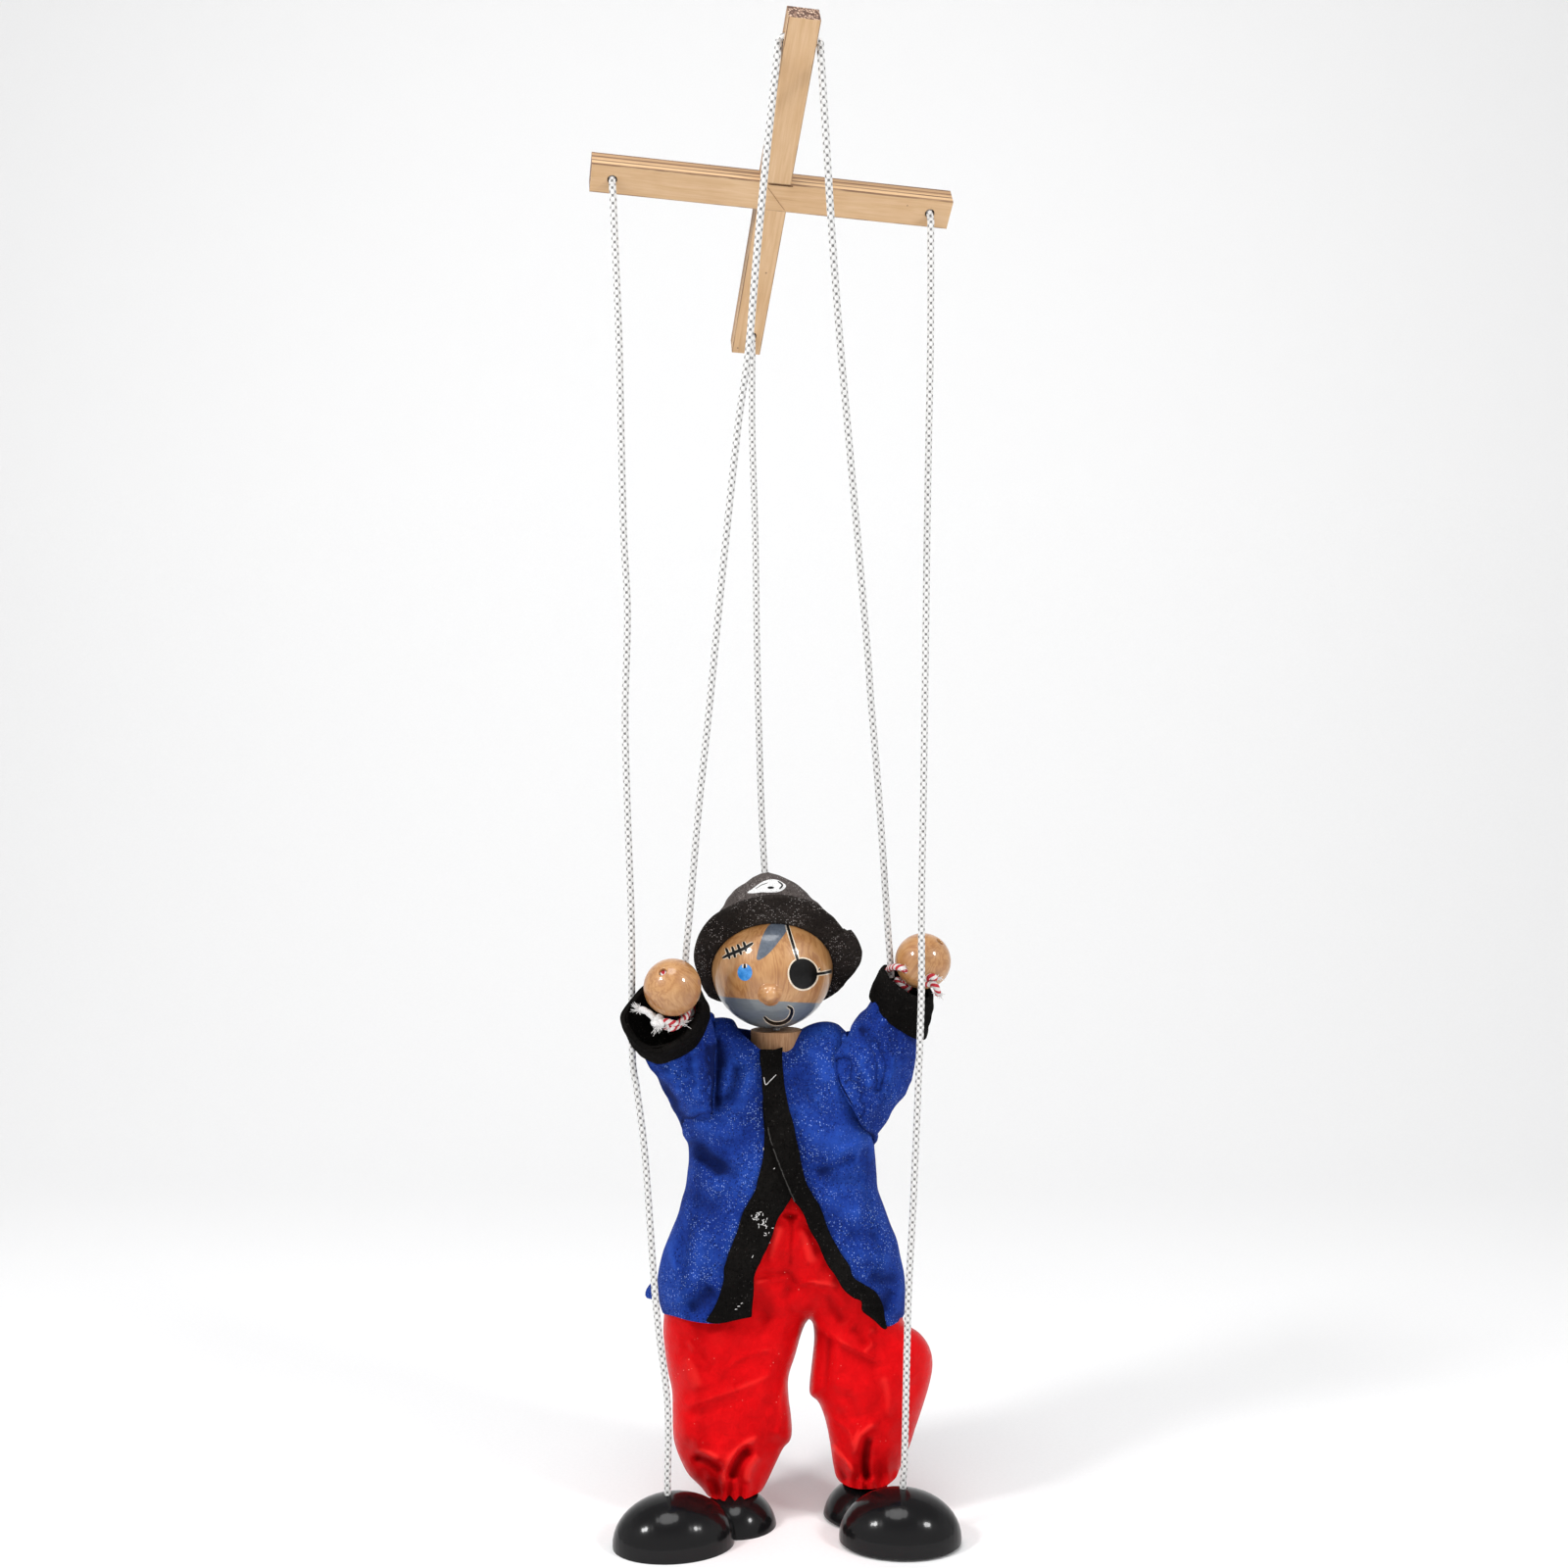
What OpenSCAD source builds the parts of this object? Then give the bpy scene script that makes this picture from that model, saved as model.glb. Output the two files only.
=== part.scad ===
// Wooden pull-string marionette hanging from a two-bar control by five braided cords.
// Millimetres. +Z is up, +X is the viewer's right, -Y is towards the viewer.
// The origin is the centre of the crossing of the two control bars.

/* [Control] */
// Width of both control bars
bar_w = 9.4; // [8:0.1:12]
// Thickness of both control bars
bar_t = 6.6; // [5:0.1:9]
// Length of the cross bar
cross_len = 112.5; // [108:0.5:120]
// Long bar, from the crossing to the near end
long_front = 56.5; // [54:0.5:60]
// Long bar, from the crossing to the far end
long_back = 58; // [56:0.5:62]
// Distance of each foot cord's hole from the crossing
foot_hole_x = 49.7; // [46:0.1:51]
// Distance of the hand cord's crosswise hole from the crossing
hand_hole_y = 49; // [46:0.5:51]
// Distance of the head cord's hole from the crossing
head_hole_y = 51; // [48:0.5:53]
// Diameter of the holes in the bars
bar_hole_d = 3; // [2.6:0.1:3.6]
// Angle by which the near end of the control is lifted
lift = 40.75; // [40.5:0.05:41]
// Sideways roll of the control
roll = 2.63; // [2.5:0.01:2.8]
// Turn of the control about the vertical
turn = 10.18; // [10:0.01:10.4]

/* [Cords] */
// Diameter of the braided cords
cord_d = 2.2; // [1.8:0.1:2.4]
// Diameter of the striped limb twine
twine_d = 2.2; // [1.8:0.1:2.4]

/* [Head] */
// Diameter of the turned head ball
head_d = 40; // [39:0.1:40.2]
// Diameter of the glued nose ball
nose_d = 6; // [5:0.1:7]
// Lean of the head towards the viewer's left
head_lean = 4; // [3:0.5:5]
// Thickness of the felt of the hat
hat_felt = 2; // [1.5:0.1:2.2]

/* [Body] */
// Diameter of the torso block
torso_d = 26; // [24:0.5:27]
// Diameter of the turned neck
neck_d = 17; // [15:0.5:18]
// Diameter of the hand balls
hand_d = 18; // [17:0.1:18.2]

/* [Clothes] */
// Thickness of the felt of the jacket and cuffs
felt_t = 1.4; // [1.2:0.1:1.6]
// Half the depth of the flat trouser legs
leg_half = 8; // [7:0.1:8]

/* [Shoes] */
// Half the length of the toe dome
toe_a = 19.5; // [18:0.1:20]
// Half the width of the toe dome
toe_b = 14.8; // [14:0.1:15]
// Radius of the heel dome at the sole
heel_r = 13; // [12.5:0.1:13.5]
// Height of the heel dome
heel_h = 11; // [10:0.1:11]

/* [Hidden] */
$fn = 48;

// Corners of the cord routes, from the control down to the puppet
head_route = [[-7, 36, -37.5], [-7, 36.2, -68], [-6, 36.4, -101], [-5.5, 36.6, -134], [-5, 36.8, -158], [-4, 37, -191], [-3, 37, -211]];
foot_route_left = [[-48.5, -11.3, -1.8], [-47, -7, -46], [-46.5, -4.5, -76], [-46, -1.5, -106], [-45, 0.5, -131], [-46, 3.5, -162], [-45.5, 6, -191], [-44.5, 9.5, -230], [-44.5, 12, -268], [-43, 12.5, -281], [-40.5, 13, -302], [-37, 13.5, -350], [-33.5, 14, -380], [-33.5, 14.5, -405]];
foot_route_right = [[49.5, 6.8, -6.5], [49.5, 7.5, -42], [49, 8.3, -73], [48.5, 9, -105], [48, 10.3, -152], [47.5, 11.3, -191], [47, 12, -223], [47, 12.6, -250], [46, 13.5, -281], [44.5, 14.5, -318], [43, 15.5, -350], [42, 16.5, -397], [41.5, 17, -406]];
hand_route_left = [[2, -36.8, 31.2], [-1.5, -31.5, 1], [-4.5, -26, -27], [-7, -21.5, -54], [-10.5, -17, -78], [-15.5, -9.5, -122], [-19.5, -3, -160], [-23, 2.5, -191], [-26, 9.5, -222], [-27.6, 13, -238]];
hand_route_right = [[14, -35, 30.8], [16, -30.5, 2], [18, -23.5, -25], [20.5, -16.5, -53], [23, -10.5, -77], [29, 3.5, -136], [31, 9, -159], [34, 16, -191], [36.5, 23, -223], [37.5, 26, -235]];

neck_top = [1, 37, -264.4];
shoulder_left = [-16, 40.2, -278.5];
shoulder_right = [18, 40.2, -278.5];
palm_left = [-31.3, 4, -246.9];
palm_right = [48.3, 23, -240.6];
arm_len_left = norm(palm_left - shoulder_left);
arm_len_right = norm(palm_right - shoulder_right);
hip_left = [-14, 37, -355];
hip_right = [28, 37, -355];
leg_len = 26;
lean_left = 7.5;
lean_right = 2.5;
sole_left = -425;
sole_right = -424;
toe_left = [-31.5, 14.5];
toe_right = [40.5, 15.5];
heel_left = [-12, 30.2];
heel_right = [29.5, 36];

wood_pale = [0.87, 0.74, 0.56];
wood_orange = [0.78, 0.47, 0.20];
wood_raw = [0.76, 0.58, 0.38];
cord_white = [0.90, 0.89, 0.87];
twine_red = [0.80, 0.25, 0.25];
felt_black = [0.10, 0.09, 0.08];
felt_blue = [0.11, 0.20, 0.62];
satin_red = [0.82, 0.05, 0.08];
paint_black = [0.05, 0.05, 0.05];

function unit(v) = v / norm(v);
function along(p, i) = unit(p[min(i + 1, len(p) - 1)] - p[max(i - 1, 0)]);
function ring(p, i, r, n) =
    let (t = along(p, i), u = unit(cross(t, [0, 1, 0])), v = cross(t, u))
    [for (k = [0 : n - 1]) p[i] + r * (cos(360 * k / n) * u + sin(360 * k / n) * v)];

// A round cord swept along the points p
module swept(p, d, n = 8) {
    m = len(p);
    polyhedron(
        points = [for (i = [0 : m - 1]) each ring(p, i, d / 2, n)],
        faces = concat(
            [[for (k = [0 : n - 1]) k]],
            [for (i = [0 : m - 2], k = [0 : n - 1])
                [i * n + k, (i + 1) * n + k, (i + 1) * n + (k + 1) % n, i * n + (k + 1) % n]],
            [[for (k = [n - 1 : -1 : 0]) (m - 1) * n + k]]),
        convexity = 6);
}

// Turns +Z to the direction from a to b and moves the origin to a
module from_to(a, b) {
    d = b - a;
    translate(a)
        rotate([0, acos(d[2] / norm(d)), atan2(d[1], d[0])])
            children();
}

module on_control() { rotate([-lift, roll, turn]) children(); }

// A straight piece of twine
module twine_between(a, b) { from_to(a, b) cylinder(h = norm(b - a), d = twine_d, $fn = 24); }

// ---- control ----

module control_bar() {
    color(wood_pale)
        on_control() difference() {
            translate([-bar_w / 2, -long_front, -bar_t / 2])
                cube([bar_w, long_front + long_back, bar_t]);
            // lap over the cross bar
            translate([-bar_w, -bar_w / 2, -bar_t])
                cube([2 * bar_w, bar_w, bar_t]);
            translate([0, -hand_hole_y, 0]) rotate([0, 90, 0])
                cylinder(h = 2 * bar_w, d = bar_hole_d, center = true);
            translate([1, head_hole_y, 0])
                cylinder(h = 2 * bar_t, d = bar_hole_d, center = true);
        }
}

module cross_bar() {
    color(wood_pale)
        on_control() difference() {
            translate([-cross_len / 2, -bar_w / 2, -bar_t / 2])
                cube([cross_len, bar_w, bar_t]);
            // lap under the long bar
            translate([-bar_w / 2, -bar_w, 0])
                cube([bar_w, 2 * bar_w, bar_t]);
            for (x = [-foot_hole_x, foot_hole_x]) translate([x, 0, 0])
                cylinder(h = 2 * bar_t, d = bar_hole_d, center = true);
        }
}

// The knot on top of a bar, with the cord that fills the hole under it
module bar_knot() {
    translate([0, 0, -bar_t / 2]) cylinder(h = bar_t + 2, d = cord_d, $fn = 24);
    translate([0, 0, bar_t / 2 + 2.35]) sphere(d = 4.6, $fn = 32);
}

module head_cord_knot() {
    color(cord_white) on_control() translate([1, head_hole_y, 0]) bar_knot();
}

module foot_cord_knots() {
    color(cord_white) on_control()
        for (x = [-foot_hole_x, foot_hole_x]) translate([x, 0, 0]) bar_knot();
}

module hand_cord_bridge() {
    color(cord_white) on_control() translate([0, -hand_hole_y, 0]) rotate([0, 90, 0])
        cylinder(h = bar_w, d = cord_d, center = true, $fn = 24);
}

// ---- cords between the control and the puppet ----

module head_cord() { color(cord_white) swept(head_route, cord_d); }
module hand_cord_left() { color(cord_white) swept(hand_route_left, cord_d); }
module hand_cord_right() { color(cord_white) swept(hand_route_right, cord_d); }
module foot_cord_left() { color(cord_white) swept(foot_route_left, cord_d); }
module foot_cord_right() { color(cord_white) swept(foot_route_right, cord_d); }

module hand_cord_left_end() {
    color(cord_white) swept([[-27.6, 13.1, -238.4], [-27.3, 14, -244], [-27, 14.8, -250]], cord_d);
}
module hand_cord_right_end() {
    color(cord_white) swept([[37.5, 26.1, -235.4], [38, 27, -241], [38.3, 27.6, -246.4]], cord_d);
}

// The last stretch of a foot cord, down through the toe to its knot
module foot_end(at, top, sole) {
    translate([at[0], at[1], sole + 3]) cylinder(h = top - sole - 3, d = cord_d, $fn = 24);
    translate([at[0], at[1], sole + 2.6]) sphere(d = 4.4, $fn = 32);
}
module foot_cord_left_end() { color(cord_white) foot_end([-33.5, 14.5], -405.4, sole_left); }
module foot_cord_right_end() { color(cord_white) foot_end([41.5, 17], -406.4, sole_right); }

// ---- head ----

module at_head() { translate(neck_top) rotate([0, -head_lean, 0]) children(); }

ball_z = 0.3 + head_d / 2;

// Half outline of the crown; h is the height above the centre of the ball
crown_line = [[0.9, 31.5], [4.5, 30.3], [9.8, 26.8], [15, 21.5], [19.3, 15], [21.8, 8], [22.6, 0], [22, -7], [20.4, -13]];
hat_tilt = 54.5;

// Turns a hat piece made round +Z to the hat's own axis, tilted back
module at_hat() { at_head() translate([0, 0, ball_z]) rotate([-hat_tilt, 0, 0]) children(); }

// The crown covers the top and the back of the ball, up to the face opening
module hat_crown() {
    color(felt_black) difference() {
        at_head() translate([0, 0, ball_z]) difference() {
            rotate_extrude($fn = 72) polygon(concat([[0, 31.5]], crown_line, [[0, -13]]));
            rotate_extrude($fn = 72) polygon(concat(
                [[0, 31.5 - hat_felt]],
                [for (i = [1 : len(crown_line) - 2]) crown_line[i] - [hat_felt, i < 3 ? hat_felt : 0]],
                [[18.4, -13.1], [0, -13.1]]));
            sphere(r = head_d / 2 + 0.2, $fn = 96);
            cylinder(h = 80, d = cord_d + 0.6, $fn = 24);
        }
        at_hat() translate([-50, -50, -60]) cube([100, 100, 60]);
    }
}

// The brim round the face opening, wider at the top and at the viewer's right
module hat_brim() {
    color(felt_black) at_hat() translate([0, 0, -1.7]) difference() {
        union() {
            translate([0, -4.4, 0]) cylinder(h = 1.66, r = 24, $fn = 96);
            linear_extrude(1.66) polygon([[16, -16], [27.6, -12], [29.6, -5], [26.4, 3], [21, 7], [16, 7]]);
        }
        translate([0, 0, -1]) cylinder(h = 4, r = head_d / 2 + 0.3, $fn = 96);
    }
}

module head_ball() {
    color(wood_orange) at_head() difference() {
        translate([0, 0, ball_z]) sphere(d = head_d, $fn = 96);
        cylinder(h = 80, d = cord_d + 0.6, $fn = 24);
    }
}

module nose() {
    color(wood_orange) at_head() difference() {
        translate([-1, -19.4, ball_z - 7]) sphere(d = nose_d, $fn = 32);
        translate([0, 0, ball_z]) sphere(d = head_d + 0.04, $fn = 96);
    }
}

// ---- torso ----

module torso_profile(grow = 0) {
    r = torso_d / 2 + grow;
    n = neck_d / 2 + grow;
    polygon([[0, 0], [n, 0], [n, -6], [n + 1, -8], [r - 1.6, -10.5], [r, -13],
             [r, -68], [r - 1.5, -69.6], [0, -69.6]]);
}

module torso_block() {
    color(wood_raw) difference() {
        translate(neck_top) translate([0, 0, -0.3]) rotate_extrude($fn = 64) torso_profile();
        translate([neck_top[0], neck_top[1], -340]) cylinder(h = 100, d = cord_d + 0.6, $fn = 24);
        translate([neck_top[0], neck_top[1], -340]) cylinder(h = 11, d = 6.4, $fn = 32);
        translate([neck_top[0], shoulder_left[1], shoulder_left[2]]) rotate([0, 90, 0])
            cylinder(h = 60, d = twine_d + 0.4, center = true, $fn = 24);
        translate([neck_top[0], neck_top[1] - 4.2, -328]) rotate([0, 90, 0])
            cylinder(h = 60, d = twine_d + 0.4, center = true, $fn = 24);
    }
}

// The head cord below the hat: through the head and torso to its knot
module head_cord_core() {
    color(cord_white) {
        at_head() translate([0, 0, 0.6]) cylinder(h = 50.4, d = cord_d, $fn = 24);
        translate([neck_top[0], neck_top[1], -331.4]) cylinder(h = 67.4, d = cord_d, $fn = 24);
        translate([neck_top[0], neck_top[1], -331.6]) sphere(d = 5.2, $fn = 32);
    }
}

// The arm twine inside the torso, with the knots that stop it at both sides
module arm_twine_core() {
    color(twine_red) translate([neck_top[0], shoulder_left[1], shoulder_left[2]]) rotate([0, 90, 0])
        cylinder(h = shoulder_right[0] - shoulder_left[0] - twine_d - 0.4, d = twine_d, center = true, $fn = 24);
}

// The leg twine through the foot of the torso, knotted at both sides, and down to the hips
module leg_twine_core() {
    color(twine_red) {
        translate([neck_top[0], neck_top[1] - 4.2, -328]) rotate([0, 90, 0])
            cylinder(h = torso_d + 4, d = twine_d, center = true, $fn = 24);
        for (q = [[-1, hip_left], [1, hip_right]]) {
            knot = [neck_top[0] + q[0] * (torso_d / 2 + 1.6), neck_top[1] - 4.2, -328];
            translate(knot) sphere(d = 4.2, $fn = 32);
            from_to(knot, q[1] + [0, 0, 1.6]) cylinder(h = norm(q[1] + [0, 0, 1.6] - knot), d = twine_d, $fn = 24);
        }
    }
}

// ---- arms ----

module arm_twine_left() { color(twine_red) twine_between(shoulder_left, shoulder_left + unit(palm_left - shoulder_left) * (arm_len_left + hand_d / 2 - 1)); }
module arm_twine_right() { color(twine_red) twine_between(shoulder_right, shoulder_right + unit(palm_right - shoulder_right) * (arm_len_right + hand_d / 2 - 1)); }

module hand_ball(a, b) {
    color(wood_orange) difference() {
        translate(b) sphere(d = hand_d, $fn = 64);
        from_to(a, b) cylinder(h = 100, d = twine_d + 0.3, $fn = 24);
    }
}
module hand_left() { hand_ball(shoulder_left, palm_left); }
module hand_right() { hand_ball(shoulder_right, palm_right); }

// Twine wound round the arm twine behind the hand ball
module wrist_wrap(a, b) {
    l = norm(b - a) - hand_d / 2;
    color(twine_red) from_to(a, b) rotate_extrude($fn = 32) difference() {
        union() {
            for (z = [l - 4.4, l - 2.4]) translate([2, z]) circle(r = 1.2, $fn = 24);
            translate([0, l - 4.8]) square([2, 3]);
        }
        translate([-5, 0]) square([5 + twine_d / 2 + 0.1, 80]);
    }
}
module wrist_wrap_left() { wrist_wrap(shoulder_left, palm_left); }
module wrist_wrap_right() { wrist_wrap(shoulder_right, palm_right); }

// A felt sleeve, widening from the shoulder to the cuff
module sleeve_shape(s0, s1, r0, r1, grow = 0) {
    difference() {
        translate([0, 0, s0 - grow]) cylinder(h = s1 - s0 + grow, r1 = r0 + grow, r2 = r1 + grow, $fn = 48);
        if (grow == 0) cylinder(h = 60, d = twine_d + 0.4, $fn = 24);
    }
}
module sleeve_left() { color(felt_blue) from_to(shoulder_left, palm_left) sleeve_shape(8, 22, 8, 10.2); }
module sleeve_right() { color(felt_blue) from_to(shoulder_right, palm_right) sleeve_shape(8, 24, 8, 9.8); }

module cuff(a, b, s0, s1, r0, r1) {
    color(felt_black) from_to(a, b) rotate_extrude($fn = 64)
        polygon([[r0 - felt_t, s0], [r0, s0], [r1, s1], [r1 - felt_t, s1]]);
}
module cuff_left() { cuff(shoulder_left, palm_left, 22, 41, 10.6, 12.8); }
module cuff_right() { cuff(shoulder_right, palm_right, 24, 40, 10, 11.4); }

// ---- jacket ----

module jacket_outline() {
    polygon([[-9, -265.5], [-17, -267.5], [-24, -274], [-30, -284], [-31.5, -291], [-28.5, -302],
             [-28.5, -314], [-31, -324], [-35, -334], [-38.5, -345], [-41, -352], [-39, -362],
             [41.5, -362], [43, -354], [42.5, -342], [39.5, -332], [34.5, -320.5], [33.5, -307],
             [34.5, -300], [36, -291], [33, -279], [26, -272], [19, -267.5], [11, -265.5]]);
}
module jacket_cavity() {
    polygon([[-19, -324], [-31, -336], [-36.3, -345], [-38.6, -352], [-37.5, -370],
             [40, -370], [40.6, -354], [40, -342], [37, -336], [22, -324]]);
}
module front_cut(p, y0, y1) {
    translate([0, y1, 0]) rotate([90, 0, 0]) linear_extrude(y1 - y0) polygon(p);
}

// Space that an arm sweeps as its hand is pulled up
module arm_sweep(a, b, s1) {
    d = b - a;
    h = norm([d[0], d[1]]);
    for (q = [-8, 0, 8])
        translate(a) rotate([0, 0, atan2(d[1], d[0])]) rotate([0, acos(d[2] / norm(d)) - q, 0])
            translate([0, 0, 4]) cylinder(h = s1, r = 11.6, $fn = 48);
    translate(a) sphere(r = 11.2, $fn = 48);
}

module jacket_body() {
    color(felt_blue) difference() {
        intersection() {
            translate([0, 60, 0]) rotate([90, 0, 0]) linear_extrude(60) jacket_outline();
            translate([-60, 0, 0]) rotate([90, 0, 90]) linear_extrude(120)
                polygon([[28, -265.5], [24, -270], [21.2, -280], [21.2, -355.5], [53, -361],
                         [53, -280], [49.5, -271], [42, -265.8]]);
        }
        translate(neck_top) translate([0, 0, -0.3]) rotate_extrude($fn = 64) torso_profile(0.4);
        translate(neck_top) cylinder(h = 30, d = neck_d + 0.8, center = true);
        translate([0, 51, 0]) rotate([90, 0, 0]) linear_extrude(28) jacket_cavity();
        // the open front below the crossing of the trims
        front_cut([[8, -319], [-7, -370], [38, -370], [30, -352]], 0, 30);
        // the neck opening
        front_cut([[-12, -260], [-4, -270], [3, -270], [13, -260]], 0, 36);
        arm_sweep(shoulder_left, palm_left, 60);
        arm_sweep(shoulder_right, palm_right, 60);
    }
}

module jacket_trim_left() {
    color(felt_black) difference() {
        front_cut([[-4, -271.5], [-2.8, -299.5], [-8, -316.5], [-14.5, -335.5], [-21.5, -355],
                   [-6.5, -354.5], [-6, -344], [-3, -335.5], [1.5, -325.5], [5.5, -315.5],
                   [3.5, -306], [3, -290], [2.5, -271.5]], 20.05, 21.15);
        arm_sweep(shoulder_left, palm_left, 60);
    }
}
module jacket_trim_right() {
    color(felt_black) difference() {
        front_cut([[3, -271.5], [6.5, -291.5], [11, -312], [17.5, -326], [25, -340.5], [32.5, -346],
                   [36.5, -355.5], [29, -349], [21.5, -345.5], [13.5, -331.5], [6.5, -317],
                   [-1.5, -295.5], [-2.5, -285], [-3, -271.5]], 18.9, 20);
        arm_sweep(shoulder_right, palm_right, 60);
    }
}

// ---- trousers ----

module pants_seat() {
    color(satin_red) difference() {
        front_cut([[-29, -335], [-34, -345], [-35, -352], [-35, -355], [9, -355], [9.6, -361],
                   [11, -361], [11.6, -355], [39.5, -355], [38.5, -345], [34, -335]], 30.8, 44);
        for (h = [hip_left, hip_right]) translate([h[0] < 0 ? -40 : 10.6, h[1], h[2]]) rotate([0, 90, 0])
            cylinder(h = h[0] < 0 ? 49.6 : 40, r = leg_half + 0.35, $fn = 64);
        for (q = [[-1, hip_left], [1, hip_right]])
            from_to([neck_top[0] + q[0] * (torso_d / 2 + 1.6), neck_top[1] - 4.2, -328], q[1] + [0, 0, 1.6])
                cylinder(h = 60, d = 4, $fn = 24);
    }
}

module from_side() { translate([-60, 0, 0]) rotate([90, 0, 90]) linear_extrude(120) children(); }

// Upper half of a trouser leg, seen from the side; the hip is the origin
module thigh_side() {
    difference() {
        union() {
            from_side() circle(r = leg_half, $fn = 64);
            from_side() translate([-leg_half, -leg_len]) square([2 * leg_half, leg_len]);
        }
        from_side() translate([0, -leg_len]) circle(r = leg_half + 0.35, $fn = 64);
        from_side() polygon([[0, -leg_len + 0.6], [20, -leg_len + 20.6], [20, -leg_len - 10], [0, -leg_len - 10]]);
    }
}
// Lower half, seen from the side; the knee is the origin
module shin_side() {
    union() {
        from_side() circle(r = leg_half, $fn = 64);
        from_side() translate([0, -leg_len]) circle(r = 6.05, $fn = 48);
        from_side() polygon([[-0.985 * leg_half, -0.174 * leg_half], [0, -0.6], [leg_half, -leg_half - 0.6],
                             [leg_half, -14], [5.2, -leg_len - 1.5], [-5.2, -leg_len - 1.5], [-leg_half, -14]]);
    }
}

module leg_piece(hip, lean, knee, front, slot = [-1.9, 1.9]) {
    translate(hip) rotate([lean, 0, 0]) translate([0, 0, knee ? -leg_len : 0]) difference() {
        intersection() {
            if (knee) shin_side(); else thigh_side();
            translate([0, 20, 0]) rotate([90, 0, 0]) linear_extrude(40) polygon(front);
        }
        cylinder(h = 80, d = twine_d + 0.5, center = true, $fn = 24);
        // room for the twine of the piece above as the leg folds
        translate([slot[0], -12, -2.1]) cube([slot[1] - slot[0], 24, 16]);
        // room for the twine of the shoe below
        if (knee) translate([-1.9, -12, -leg_len - 10]) cube([3.8, 24, 12]);
    }
}

module pants_thigh_left() {
    color(satin_red) leg_piece(hip_left, -lean_left, false,
        [[-20, 9], [-21.5, -4], [-21.5, -14], [-21, -28], [19.5, -28], [20, -14], [22.5, -4], [22.5, 9]], [-2.2, 2.4]);
}
module pants_thigh_right() {
    color(satin_red) leg_piece(hip_right, -lean_right, false,
        [[-16.5, 9], [-16.5, -6], [-15.5, -28], [24, -28], [21.5, -16.5], [12, -10.6], [12, 9]], [-6.4, 2.2]);
}
module pants_shin_left() {
    color(satin_red) leg_piece(hip_left, -lean_left, true,
        [[-21, 9], [-20.5, -6], [-18, -16], [-12.5, -25], [-8, -32], [9, -32], [14, -22], [18.5, -14], [20, -9], [19.5, 9]]);
}
module pants_shin_right() {
    color(satin_red) leg_piece(hip_right, -lean_right, true,
        [[-15.5, 9], [-15.5, -2], [-12, -8], [-9, -16], [-7, -32], [12.5, -32], [13.5, -26], [20, -12], [24, -4], [24, 9]]);
}

module leg_twine_piece(hip, lean, a, b) {
    color(twine_red) translate(hip) rotate([lean, 0, 0]) twine_between([0, 0, a], [0, 0, b]);
}
module leg_twine_thigh_left() { leg_twine_piece(hip_left, -lean_left, -1.4, -leg_len + 1.6); }
module leg_twine_thigh_right() { leg_twine_piece(hip_right, -lean_right, -1.4, -leg_len + 1.6); }
module leg_twine_shin_left() { leg_twine_piece(hip_left, -lean_left, -leg_len - 1.7, -2 * leg_len + 1.4); }
module leg_twine_shin_right() { leg_twine_piece(hip_right, -lean_right, -leg_len - 1.7, -2 * leg_len + 1.4); }

// ---- shoes ----

// An egg-shaped dome, cut flat at the sole
module toe_dome(at, a, b, angle, grow = 0) {
    translate([at[0], at[1], 1.2]) rotate([0, 0, angle]) rotate([0, 90, 0])
        rotate_extrude($fn = 72)
            polygon([for (t = [0 : 7.5 : 180]) [(b + grow) * sin(t), (a + grow) * cos(t)]]);
}

module shoe_toe(at, angle, hole, sole) {
    color(paint_black) translate([0, 0, sole]) difference() {
        toe_dome(at, toe_a, toe_b, angle);
        translate([-80, -80, -40]) cube([160, 160, 40]);
        translate([hole[0], hole[1], -1]) cylinder(h = 40, d = cord_d + 0.5, $fn = 24);
        translate([hole[0], hole[1], -1]) cylinder(h = 6.2, d = 5.2, $fn = 32);
    }
}

module shoe_heel(at, toe, angle, ankle, sole) {
    ball_r = (heel_r * heel_r + heel_h * heel_h) / (2 * heel_h);
    color(paint_black) translate([0, 0, sole]) difference() {
        translate([at[0], at[1], heel_h - ball_r]) sphere(r = ball_r, $fn = 96);
        translate([-80, -80, -60]) cube([160, 160, 60]);
        toe_dome(toe, toe_a, toe_b, angle, 0.06);
        translate([ankle[0], ankle[1], -1]) cylinder(h = 40, d = twine_d + 0.4, $fn = 24);
        translate([ankle[0], ankle[1], -1]) cylinder(h = 6.2, d = 5.2, $fn = 32);
    }
}

// The leg twine's end in the heel, with its knot in the recess of the sole
module shoe_knot(ankle, top, sole) {
    color(twine_red) {
        translate([ankle[0], ankle[1], sole + 3]) cylinder(h = top - sole - 3, d = twine_d, $fn = 24);
        translate([ankle[0], ankle[1], sole + 2.6]) sphere(d = 4.4, $fn = 32);
    }
}

ankle_left = hip_left + 2 * leg_len * [0, -sin(lean_left), -cos(lean_left)];
ankle_right = hip_right + 2 * leg_len * [0, -sin(lean_right), -cos(lean_right)];

module shoe_toe_left() { shoe_toe(toe_left, 12, [-33.5, 14.5], sole_left); }
module shoe_toe_right() { shoe_toe(toe_right, -4, [41.5, 17], sole_right); }
module shoe_heel_left() { shoe_heel(heel_left, toe_left, 12, ankle_left, sole_left); }
module shoe_heel_right() { shoe_heel(heel_right, toe_right, -4, ankle_right, sole_right); }
module shoe_knot_left() { shoe_knot(ankle_left, ankle_left[2] - 1.2, sole_left); }
module shoe_knot_right() { shoe_knot(ankle_right, ankle_right[2] - 1.2, sole_right); }

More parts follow.
